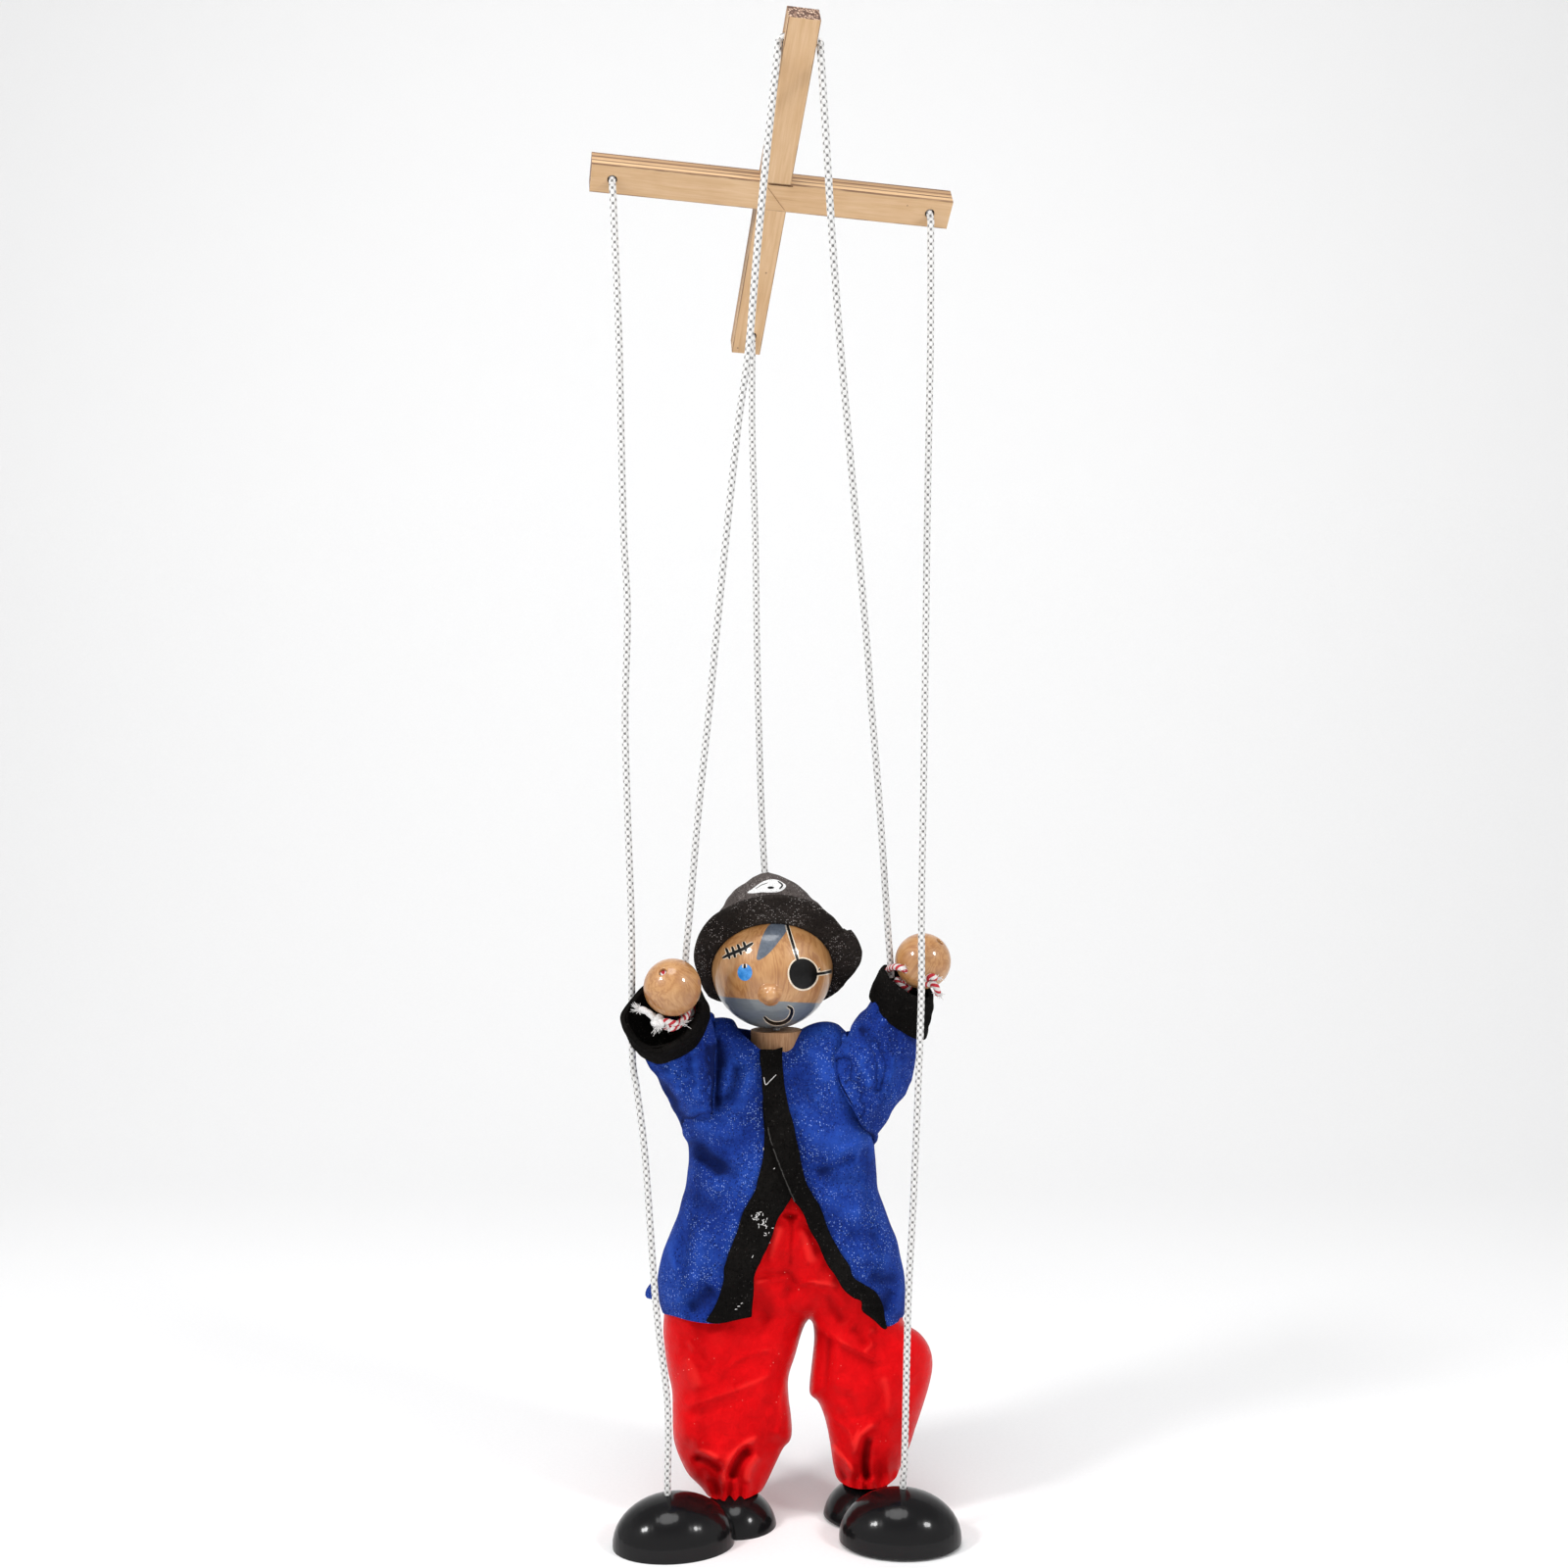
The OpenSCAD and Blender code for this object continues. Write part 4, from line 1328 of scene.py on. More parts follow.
# a small glued bump, flowing into the ball through its fillet of varnish
NOSE = head_point(-1, -19.4, -7)
nose_dir = (NOSE - BALL) / np.linalg.norm(NOSE - BALL)
nose_profile = []
for r, top in [(0.001, 3.0), (0.5, 2.97), (1.0, 2.86), (1.5, 2.68), (2.0, 2.4), (2.5, 2.02), (2.9, 1.6), (3.2, 1.14),
               (3.45, 0.74), (3.75, 0.42), (4.15, 0.2), (4.7, 0.06), (5.2, -0.05), (5.2, -0.9), (0.001, -0.9)]:
    nose_profile.append((0.80 * r, 0.82 * top - 0.64 * r * r / 40.0 - 0.62))


def nose_dent(p):
    w = p - NOSE
    return nose_dir * (0.10 * waves(w, 3.2, 5))[:, None]


nose = lathe(
    "nose_wood", nose_profile, 48, NOSE, nose_dir,
    wood_varnished("nose_varnish", NOSE, [1, 0.1, 0.2], 9.0, warm=0.10), nose_dent,
)
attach(nose, "head")
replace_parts(nose, "nose")

INK = paint("black_enamel", (0.002, 0.002, 0.002), (0.006, 0.0055, 0.0055), coat=0.10, spec=0.15)
CREAM = paint("cream_enamel", (0.62, 0.50, 0.36), (0.86, 0.76, 0.62))
SKY = paint("blue_enamel", (0.015, 0.17, 0.50), (0.06, 0.32, 0.74))
SLATE = paint("slate_enamel", (0.066, 0.082, 0.108), (0.115, 0.138, 0.175), coat=0.5)


def stroke(points, width, taper=0.25):
    """Outline of a brush stroke along picture points."""
    line, s = smooth_line(points, 0.8)
    t = np.gradient(line, axis=0)
    t /= np.linalg.norm(t, axis=1)[:, None]
    n = np.stack([-t[:, 1], t[:, 0]], 1)
    k = s / s[-1]
    w = 0.5 * width * (1 - (1 - taper) * np.abs(2 * k - 1) ** 6)
    return np.vstack([line + n * w[:, None], (line - n * w[:, None])[::-1]])


def disc(cx, cy, rx, ry, n=44, wob=0.0, seed=1):
    a = np.linspace(0, 2 * math.pi, n, endpoint=False)
    r = 1 + wob * (np.sin(2 * a + seed) + 0.6 * np.sin(3 * a + 2 * seed))
    return np.stack([cx + rx * r * np.cos(a), cy + ry * r * np.sin(a)], 1)


def mark(name, outline, lift, mat, step=1.2):
    o = decal(name, outline, head_tree, lift, mat, "head", step)
    return o


mark("hair_lock", rounded([(785.5, 943.5), (778.8, 953.9), (774.7, 966.1), (772.2, 979.0), (778.8, 977.5), (787, 970.3),
                           (795.3, 960.1), (801.4, 951.9), (805, 943), (797, 940.5)], 1.0), 0.035, SLATE, 1.6)
mark("strap_top_edge", stroke([(802.8, 943.5), (807.4, 958), (814.4, 980)], 4.6, 0.9), 0.035, CREAM)
mark("strap_side_edge", stroke([(831, 994.2), (842, 992.6), (854.5, 989.4)], 4.6, 0.9), 0.035, CREAM)
mark("patch_edge", disc(819.4, 993.8, 15.7, 17.4, wob=0.02), 0.045, CREAM, 1.6)
mark("strap_top", stroke([(802.8, 941.5), (807.4, 958), (814.6, 982)], 2.7, 0.9), 0.055, INK)
mark("strap_side", stroke([(830, 994.3), (842, 992.6), (855.5, 989.2)], 2.7, 0.9), 0.055, INK)
mark("patch", disc(819.4, 993.6, 14.1, 15.8, wob=0.02), 0.07, INK, 1.6)
mark("eye", disc(760.1, 992.2, 7.5, 8.6, 32), 0.045, SKY)
mark("eye_light_left", stroke([(758.2, 983.6), (758.0, 987.6)], 1.2, 0.8), 0.07, CREAM, 0.7)
mark("eye_light_right", stroke([(761.6, 983.4), (761.8, 987.4)], 1.2, 0.8), 0.07, CREAM, 0.7)
mark("eye_dot", disc(759.9, 986.0, 1.3, 2.6, 16), 0.06, INK, 0.8)

scar = [(737.2, 977.6), (745.5, 973.6), (753, 970.6), (760.5, 967.2), (768.5, 962.0)]
ticks = [
    ((740.8, 967.4), (744.8, 978.6)), ((747.0, 966.0), (750.2, 977.2)), ((752.6, 963.6), (756.4, 974.4)),
    ((758.6, 961.0), (761.6, 971.0)),
]
mark("scar_edge", stroke(scar, 4.8, 0.6), 0.035, CREAM)
for i, (a, b) in enumerate(ticks):
    mid = ((a[0] + b[0]) / 2 + 0.3, (a[1] + b[1]) / 2)
    mark(f"stitch_edge_{i}", stroke([a, mid, b], 4.3, 0.7), 0.038 + 0.002 * i, CREAM, 0.9)
mark("scar_line", stroke(scar, 3.3, 0.5), 0.055, INK, 0.8)
for i, (a, b) in enumerate(ticks):
    mid = ((a[0] + b[0]) / 2 + 0.3, (a[1] + b[1]) / 2)
    mark(f"stitch_{i}", stroke([a, mid, b], 2.7, 0.6), 0.06 + 0.002 * i, INK, 0.7)
smile = [(779.6, 1037.4), (784.0, 1041.8), (791, 1044.4), (798.6, 1043.6), (804.4, 1040.2), (807.6, 1034.6), (807.6, 1029.6), (803.4, 1026.6)]
mark("smile_edge", stroke(smile, 5.0, 0.6), 0.04, CREAM)
mark("smile_line", stroke(smile, 3.3, 0.6), 0.06, INK, 0.9)

# ---------------------------------------------------------------- hat

HAT_TURN = LEAN @ turned("x", -54.5)
HAT_X, HAT_UP, HAT_BACK = HAT_TURN[:, 0], -HAT_TURN[:, 1], HAT_TURN[:, 2]
BAND = np.array([
    (-180, 21), (-150, 21), (-126, 21.2), (-113, 23.7), (-95, 24.2), (-86, 24.6), (-72, 26.4), (-57, 28.4), (-47, 29.4),
    (-34, 30.4), (-14, 31.5), (0, 31.9), (14, 32.0), (27, 31.7), (37, 30.3), (48, 29.2), (57.6, 28.6),
    (58.8, 31.3), (70, 30.9), (78, 30.4), (86, 29.2), (104, 25.5), (119, 23.5), (135, 21.6), (150, 21), (180, 21),
])
CROWN = np.array([
    (0, 32.2), (1.6, 31.5), (4.5, 31.0), (8.4, 30.6), (20, 28.5), (34.9, 26.2), (52, 24.4), (69.8, 23.2), (90, 22.6), (107.6, 23.1),
    (122.5, 24.2), (180, 25),
])


def hat():
    alphas = np.unique(np.concatenate([np.arange(-180, 180, 1.5), [57.4, 57.8, 58.2, 58.6, 59.0]]))
    A = np.radians(alphas)
    radial = np.sin(A)[:, None] * HAT_X + np.cos(A)[:, None] * HAT_UP
    band = np.interp(alphas, BAND[:, 0], BAND[:, 1])
    band = band + 0.18 * np.sin(A * 9 + 1) * np.clip((band - 22) / 6, 0, 1)
    step = np.where(alphas > 58.1, 1.0, 0.0) * (1 - np.clip((alphas - 59) / 42, 0, 1) ** 0.8)
    wide = np.clip((band - 21) / 8, 0, 1)
    rows = []

    def crown(beta, inner=False):
        b = math.radians(beta)
        d = math.cos(b) * HAT_BACK + math.sin(b) * radial
        th = np.degrees(np.arccos(np.clip(d @ HEAD_UP, -1, 1)))
        r = np.interp(th, CROWN[:, 0], CROWN[:, 1])
        if inner:
            r = np.minimum(np.maximum(r - 2.0, 20.25), r - 0.5)
            return BALL + d * r[:, None]
        side = d @ HAT_X
        r = r + np.where(side > 0, 1.1, 0.2) * side * np.clip(th / 60, 0, 1)
        if beta > 78:
            k = (beta - 78) / 12
            low = np.interp(beta, [78, 82, 86, 90], [1, 0.62, 0.3, 0.10])
            base = 20.9
            r = base + (r - base) * low
        p = BALL + d * r[:, None]
        lump = 0.30 * waves(p, 13, 3) + 0.10 * waves(p, 4.2, 4)
        fade = np.clip((th - 3) / 10, 0, 1) * np.clip((92 - beta) / 20, 0, 1)
        return p + d * (lump * fade)[:, None]

    for beta in np.concatenate([np.arange(1.2, 78, 1.4), [78, 80, 82, 84, 86, 88, 89.5]]):
        rows.append(crown(beta))
    # the turned-up band: its back, rounded edge, face and the fold under it
    flare = 0.9 * wide

    def band_row(k, w, edge=0.0):
        R = 20.6 + (band - 20.6) * k + edge
        lift = -flare * 1.0 * k**1.5 - 1.35 * step * np.clip(k * 1.6, 0, 1)
        q = BALL + radial * R[:, None] + HAT_BACK * (w + lift)[:, None]
        bumps = 0.16 * waves(q, 7, 9) + 0.07 * waves(q, 2.6, 12)
        return q + HAT_BACK * (bumps * min(1, 2 * k))[:, None]

    back, face = 0.0, -1.75
    for k in np.linspace(0.04, 0.92, 9):
        rows.append(band_row(k, back))
    for a in np.linspace(60, -60, 6):
        rows.append(
            band_row(0.985, (back + face) / 2 + 0.5 * (back - face) * math.sin(math.radians(a)), 0.35 * (math.cos(math.radians(a)) - 0.5))
        )
    for k in np.linspace(0.94, 0.0, 13):
        rows.append(band_row(k, face))
    rows.append(BALL + radial * 19.7 + HAT_BACK * -1.2)
    for beta in np.concatenate([[88, 84, 80], np.arange(76, 1, -4.0)]):
        rows.append(crown(beta, True))
    n = len(alphas)
    p = np.vstack(rows)
    faces = grid(len(rows), n, wrap_cols=True)
    first, last = len(p), len(p) + 1
    p = np.vstack([p, BALL + HAT_BACK * 23.9, BALL + HAT_BACK * 21.3])
    for j in range(n):
        faces.append([first, j, (j + 1) % n])
        m = (len(rows) - 1) * n
        faces.append([last, m + (j + 1) % n, m + j])
    return make("hat_felt_piece", p, faces, HAT)


hat_piece = hat()
hat_piece.data.materials.append(CROWN_FELT_LIT)
# the top of the crown takes the lighter copy, as painted light
for face in hat_piece.data.polygons:
    w = (np.array(face.center) * 1000 - BALL) @ HAT_BACK
    r = np.linalg.norm(np.array(face.center) * 1000 - BALL)
    if w > 0.9 and r > 21.5:
        face.material_index = 1
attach(hat_piece, "head")
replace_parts(hat_piece, "hat_crown", "hat_brim")
hat_tree = bvh(hat_piece)
PRINT = paint("white_print", (0.50, 0.50, 0.50), (0.86, 0.86, 0.85), rough=0.8, coat=0.0, grain=2.2)


def hat_mark(name, outline, lift, mat, step=1.4):
    return decal(name, outline, hat_tree, lift, mat, "head", step)


hat_mark("hat_print_skull", rounded([(762.5, 911.2), (768, 907.2), (774, 902.6), (780, 899.2), (787, 897.6), (793, 898.2), (798, 900.6), (802.2, 904.2),
                                     (799, 908.2), (794, 910.2), (787, 910.8), (778, 910.6), (770, 911.6)], 1.2), 0.12, PRINT)
hat_mark("hat_print_eye_1", disc(786.5, 906.2, 3.4, 1.3, 20), 0.2, INK, 0.9)
hat_mark("hat_print_eye_2", stroke([(793.6, 899.6), (798.2, 903.6), (795.2, 907.6)], 1.5, 0.5), 0.2, INK, 0.9)
hat_mark("hat_print_line_1", stroke([(771, 907.5), (777, 903.6), (784, 901.2)], 0.7, 0.4), 0.2, INK, 0.9)

# ---------------------------------------------------------------- floor

floor_line = np.concatenate([
    np.stack([np.linspace(-900, 500, 15), np.full(15, -425.0)], 1),
    [(500 + 500 * math.sin(t), -425 + 500 * (1 - math.cos(t))) for t in np.linspace(0.1, math.pi / 2, 16)],
    [(1000, 600), (1000, 1100)],
])
FLOOR = Shader("paper", Roughness=0.85, Specular_IOR_Level=0.1)
FLOOR.set(
    "Base Color",
    FLOOR.ramp(FLOOR.noise(0.8, 3, 0.6), (0.3, (0.88, 0.88, 0.88)), (0.7, (0.91, 0.91, 0.91))),
)
pts = np.array([[x, y, z] for y, z in floor_line for x in (-3600, -1800, 0, 1800, 3600)])
floor = make("floor", pts, grid(len(floor_line), 5), FLOOR.mat)

# ---------------------------------------------------------------- torso, hands, twine

dress("torso_block", RAW, 0.3)
for node in ("head_cord_core",):
    dress(node, CORD_CAD)
for node in (
    "arm_twine_core", "leg_twine_core", "leg_twine_thigh_left", "leg_twine_thigh_right",
    "leg_twine_shin_left", "leg_twine_shin_right", "shoe_knot_left", "shoe_knot_right",
):
    dress(node, TWINE_CAD)

SHOULDER = {"left": np.array([-16, 40.2, -278.5]), "right": np.array([18, 40.2, -278.5])}
PALM = {"left": np.array([-31.3, 4, -246.9]), "right": np.array([48.3, 23, -240.6])}
ARM = {k: (PALM[k] - SHOULDER[k]) / np.linalg.norm(PALM[k] - SHOULDER[k]) for k in PALM}
ARM_LEN = {k: float(np.linalg.norm(PALM[k] - SHOULDER[k])) for k in PALM}


def twine_radius(s, a):
    u = 2 * a / (2 * math.pi) + 0.42 * s
    return 0.88 + 0.22 * np.abs(np.sin(math.pi * u)) ** 0.7


def strand(name, line, body, mat=TWINE, r=None, every=0.3):
    line, _ = smooth_line(line, every)
    o = tube(name, line, r or twine_radius, 12, mat)
    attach(o, body)
    return o


def fray(name, place, direction, count, length, spread, body, seed, r=0.16, mat=None):
    """A tuft of loose fibres at a cut end of twine."""
    rng = np.random.default_rng(seed)
    direction = np.asarray(direction, float) / np.linalg.norm(direction)
    pts, faces, base = [], [], 0
    for _ in range(count):
        d = direction + rng.normal(size=3) * spread
        d /= np.linalg.norm(d)
        bend = rng.normal(size=3) * 0.35
        n = 7
        t = np.linspace(0, 1, n)[:, None]
        ln = length * rng.uniform(0.5, 1.1)
        line = np.asarray(place, float) + rng.normal(size=3) * 0.3 + d * t * ln + bend * t**2 * ln * 0.6
        _, u, v = frames(line)
        a = np.linspace(0, 2 * math.pi, 5, endpoint=False)
        rr = r * (1 - 0.55 * t)
        ring = line[:, None] + rr[:, None] * (np.cos(a)[:, None] * u[:, None] + np.sin(a)[:, None] * v[:, None])
        pts.append(ring.reshape(-1, 3))
        faces += [[base + i for i in f] for f in grid(n, 5, wrap_cols=True, flip=True)]
        faces += [[base + i for i in range(4, -1, -1)][::-1], [base + (n - 1) * 5 + i for i in range(5)]]
        base += n * 5
    o = make(name, np.vstack(pts), faces, mat or LINT)
    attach(o, body)
    return o


for side in ("left", "right"):
    body = "arm_" + side
    c, d = PALM[side], ARM[side]
    ball = lathe_closed(
        "hand_wood_" + side,
        ball_profile(9.0, 1.25, 64, 0.25),
        110,
        c,
        d,
        wood_varnished("hand_varnish_" + side, c, d, 5.0 if side == "left" else 8.0),
    )
    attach(ball, body)
    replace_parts(ball, "hand_" + side)
    o = strand("arm_twine_piece_" + side, [SHOULDER[side], SHOULDER[side] + d * ARM_LEN[side] * 0.5, c + d * 8.0], body)
    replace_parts(o, "arm_twine_" + side)
    # winding behind the ball
    l = ARM_LEN[side] - 9.0
    u = np.cross(d, [0, 0, 1.0])
    u /= np.linalg.norm(u)
    v = np.cross(d, u)
    a = np.linspace(0, 2 * math.pi * 2.6, 40)
    coil = [SHOULDER[side] + d * (l - 4.8 + 4.2 * x / a[-1]) + (u * math.cos(x) + v * math.sin(x)) * 2.15 for x in a]
    wrap = strand("wrist_winding_" + side, coil, body)
    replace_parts(wrap, "wrist_wrap_" + side)

K = lambda px, py, y: at(px, py, y)
strand("wrist_tail_left_1", [K(703, 1030, 11), K(699, 1039, 6), K(691, 1044.5, 3.2), K(683, 1043, 1.6), K(676, 1042, 1.4)], "arm_left")
strand("wrist_tail_left_2", [K(702, 1034, 10), K(695, 1044, 5.5), K(686, 1049, 2.6), K(678, 1047, 1.6)], "arm_left")
knot("wrist_knot_left", K(671.5, 1042.5, 1.4), K(671, 1042, -1) - K(671.5, 1042.5, 1.4), 1.5, "arm_left", mat=LINT, seed=0.6,
     r=lambda s, a: 0.95 + 0.16 * np.sin(9 * s) * np.sin(3 * a), tail=2.2)
strand("wrist_tail_left_3", [K(668, 1040, 1.5), K(663, 1034.5, 1.2), K(657, 1031, 1.6), K(652.5, 1030, 2.0)], "arm_left", mat=LINT)
fray("wrist_fray_left_1", K(653.5, 1030.2, 2.0), (-1.0, -0.2, 0.25), 26, 3.0, 0.42, "arm_left", 4)
fray("wrist_fray_left_2", K(672, 1046, 0.8), (-0.2, -0.3, -1.0), 24, 2.6, 0.5, "arm_left", 5)
fray("wrist_fray_left_3", K(694, 1044, 3.2), (0.7, -0.4, 0.1), 14, 2.6, 0.5, "arm_left", 6)
fray("wrist_fray_left_4", K(681, 1046, 1.2), (0.1, -0.3, -0.9), 16, 2.2, 0.6, "arm_left", 7)

strand("wrist_tail_right_1", [K(939, 1004, 27), K(932, 995, 20), K(924, 989.5, 17), K(917, 987, 18), K(911, 987, 22), K(906, 990, 27)], "arm_right")
strand("wrist_tail_right_2", [K(940, 1006, 26), K(946, 1004, 18), K(952, 1003.5, 15.6), K(956, 1009, 16), K(957, 1014, 18)], "arm_right")
strand("wrist_tail_right_3", [K(938, 1007, 25), K(943, 1000, 17.5), K(949, 996.5, 14.8), K(955, 998, 15.5)], "arm_right")
fray("wrist_fray_right_1", K(957, 1012, 17.6), (0.5, -0.2, -0.9), 20, 2.4, 0.45, "arm_right", 14)
fray("wrist_fray_right_2", K(955, 998.5, 15.5), (0.9, -0.2, 0.1), 14, 2.0, 0.45, "arm_right", 15)
fray("wrist_fray_right_3", K(925, 989, 17), (-0.6, -0.6, 0.3), 12, 1.8, 0.5, "arm_right", 16)

# ---------------------------------------------------------------- shoes

for node in ("shoe_toe_left", "shoe_toe_right", "shoe_heel_left", "shoe_heel_right"):
    dress(node, GLOSS, 0.6, 3, 45)

# ---------------------------------------------------------------- cloth helpers


def ease(d, dm):
    k = np.clip(d / dm, 0, 1)
    return np.sqrt(np.clip(1 - (1 - k) ** 2, 0, 1))


def joined(*parts):
    """One outline from open smoothed runs of picture points."""
    out = []
    for q in parts:
        q = np.asarray(q, float)
        out.append(smooth_line(q, 2.0)[0] if len(q) > 2 else q)
    p = np.vstack(out)
    keep = [0]
    for i in range(1, len(p)):
        if np.linalg.norm(p[i] - p[keep[-1]]) > 0.5:
            keep.append(i)
    return p[keep]


def relief(p, table):
    """Height in mm towards the viewer of drawn folds: (kind, amount, width, points)."""
    h = np.zeros(len(p))
    for kind, amount, width, line in table:
        line, _ = smooth_line(line, 4.0)
        d, side, t = near(p, line)
        fade = np.clip(np.minimum(t, 1 - t) / 0.18, 0, 1)
        fade = fade * fade * (3 - 2 * fade)
        beyond = (t <= 0) | (t >= 1)
        if kind == "line":
            h += amount * np.exp(-((d / width) ** 2)) * np.where(beyond, 0, np.maximum(fade, 0.0))
        elif kind == "step":
            s = 0.5 * (1 + np.tanh(side * d / (0.35 * width)))
            h += amount * s * np.exp(-d / (2.2 * width)) * fade
        elif kind == "patch":
            h += amount * np.exp(-((d / width) ** 2))
    return h


def weighted(p, table, power=3.0):
    """Values at picture points, from a table of (x, y, values...), by inverse distance."""
    t = np.asarray(table, float)
    d = np.linalg.norm(p[:, None] - t[None, :, :2], axis=2)
    w = 1.0 / (d**power + 40.0)
    return (w[:, :, None] * t[None, :, 2:]).sum(1) / w.sum(1)[:, None]


def cloth(name, outline, depth, mat, felt_mm, step=2.6, away=False):
    """A sheet from a picture outline; depth(points) gives its y. It faces the viewer, or away."""
    v, f = fill(outline, step)
    p = at(v[:, 0], v[:, 1], depth(v))
    o = make(name, p, facing(p, f, (0, 1, 0) if away else (0, -1, 0)), mat)
    if felt_mm:
        thicken(o, felt_mm)
    return o


def crease(o, table, scale=1.0, extra=None, move=True):
    """Draws folds into the side of a piece that the viewer sees when move is set, and keeps them as fold for its
    material, which paints shade in the creases and highlight on the crests from them.
    """
    me = o.data
    p = np.empty(len(me.vertices) * 3, np.float32)
    me.vertices.foreach_get("co", p)
    p = p.reshape(-1, 3).astype(float) * 1000
    n = np.empty(len(me.vertices) * 3, np.float32)
    me.vertices.foreach_get("normal", n)
    n = n.reshape(-1, 3)
    q = seen(p)
    h = scale * relief(q, table)
    if extra is not None:
        h = h + extra(q)
    near_side = np.clip((0.35 - n[:, 1]) / 0.5, 0, 1)
    if move:
        p[:, 1] -= h * near_side
        me.vertices.foreach_set("co", (p * 0.001).astype(np.float32).ravel())
    a = me.attributes.new("fold", "FLOAT", "POINT")
    a.data.foreach_set("value", (h * (near_side if move else 1.0)).astype(np.float32))
    me.update()


def area_of(o):
    return sum(q.area for q in o.data.polygons)


def declare(width, length, area=None):
    """Grows a cloth cut's rectangle a little where the measured cloth is larger than it; the result is not kept."""
    if area and area > 0.95 * width * length:
        k = math.sqrt(area / (0.90 * width * length))
        width, length = round(width * k, 4), round(length * k, 4)


# ---------------------------------------------------------------- jacket

LEFT_SIDE = [(729.0, 1038.6), (717, 1050), (705, 1075), (697.5, 1105), (694, 1135), (696.9, 1157.3), (702, 1167.6),
             (702.8, 1182.9), (701.5, 1195.6), (699.5, 1210.9), (695.7, 1223.7), (691.8, 1239), (685.5, 1254.3),
             (680.4, 1267), (676.5, 1277.2), (672.7, 1292.6), (670.8, 1305), (671, 1318), (673, 1330), (676.5, 1340.5)]
LEFT_SIDE_BACK = LEFT_SIDE[:-3] + [(663.8, 1313), (661.2, 1318), (662.5, 1323.2), (671.4, 1326.0), (674, 1333.4), (676.5, 1340.5)]
RIGHT_SIDE = [(861.4, 1050.8), (872, 1062), (884, 1082), (890.5, 1108), (892.5, 1135), (892, 1163.7), (893.4, 1182.9),
              (894.6, 1198.2), (895.9, 1213.5), (902.3, 1231.3), (908.7, 1249.2), (915, 1264.5), (918.9, 1282.3),
              (922.7, 1300.2), (924, 1320.6), (923.5, 1338.5), (919.5, 1347)]
SHOULDER_SEAM_L = [(753.0, 1048.5), (748.2, 1040.6), (741, 1038.4), (735.9, 1038), (729.0, 1038.6)]
SHOULDER_SEAM_R = [(804.0, 1063), (809.4, 1055.9), (819.6, 1048.8), (831.8, 1043.7), (844, 1042.2), (854.3, 1044.7), (861.4, 1050.8)]
HEM_L = [(676.5, 1340.5), (689.3, 1343.6), (702, 1347.4), (717.3, 1350), (734, 1351)]
TRIM_L_OUT = [(776, 1070.6), (778.6, 1103.8), (779, 1142), (779.8, 1154.8), (778.6, 1177.8), (776, 1193), (770.9, 1213.5),
              (765.8, 1223.7), (758.2, 1239), (750.5, 1261.9), (742.9, 1282.3), (739, 1295), (737.8, 1307.9),
              (733.9, 1320.6), (728.8, 1333.4), (719.9, 1348.7)]
TRIM_L_IN = [(767, 1344.3), (767.6, 1333.4), (768.9, 1315.5), (769.6, 1302.8), (776, 1287.4), (783.7, 1272), (788.8, 1259.4),
             (793.9, 1244), (800.3, 1233.9), (806, 1224), (811, 1210), (809, 1180), (804, 1140), (800, 1100), (797, 1071)]
TRIM_R_OUT = [(799, 1068), (798.5, 1080.8), (800.3, 1103.8), (802.8, 1119), (806, 1134.4), (810.5, 1149.7), (814.3, 1170),
              (819.4, 1193), (824.5, 1210.9), (834.7, 1228.8), (842.3, 1246.6), (847.4, 1259.4), (855, 1274.7),
              (865.3, 1290), (870.4, 1302.8), (880.6, 1310.4), (893.4, 1318), (901, 1330.8), (903.6, 1346), (906, 1356.3)]
TRIM_R_IN = [(901, 1355), (890.8, 1346), (880.6, 1338.5), (879.3, 1328.3), (870.4, 1324.4), (860.2, 1315.5), (851.3, 1300.2),
             (842.3, 1287.4), (834.7, 1269.6), (827, 1256.8), (821.9, 1244), (816.8, 1233.9), (809.2, 1224), (804, 1213.5),
             (795, 1193), (787.5, 1170), (782.4, 1154.8), (778.5, 1120), (776, 1080), (775.5, 1071)]

SEALED = [joined(LEFT_SIDE), joined(RIGHT_SIDE), joined(SHOULDER_SEAM_L), joined(SHOULDER_SEAM_R)]
FRONT_T = np.array([(1030, 8), (1045, 9), (1070, 11.5), (1090, 13.2), (1110, 15.2), (1200, 16.3), (1300, 16.8), (1360, 17.0)])
BACK_T = np.array([(1030, 10.5), (1060, 12), (1090, 13.5), (1130, 14.6), (1360, 15.2)])

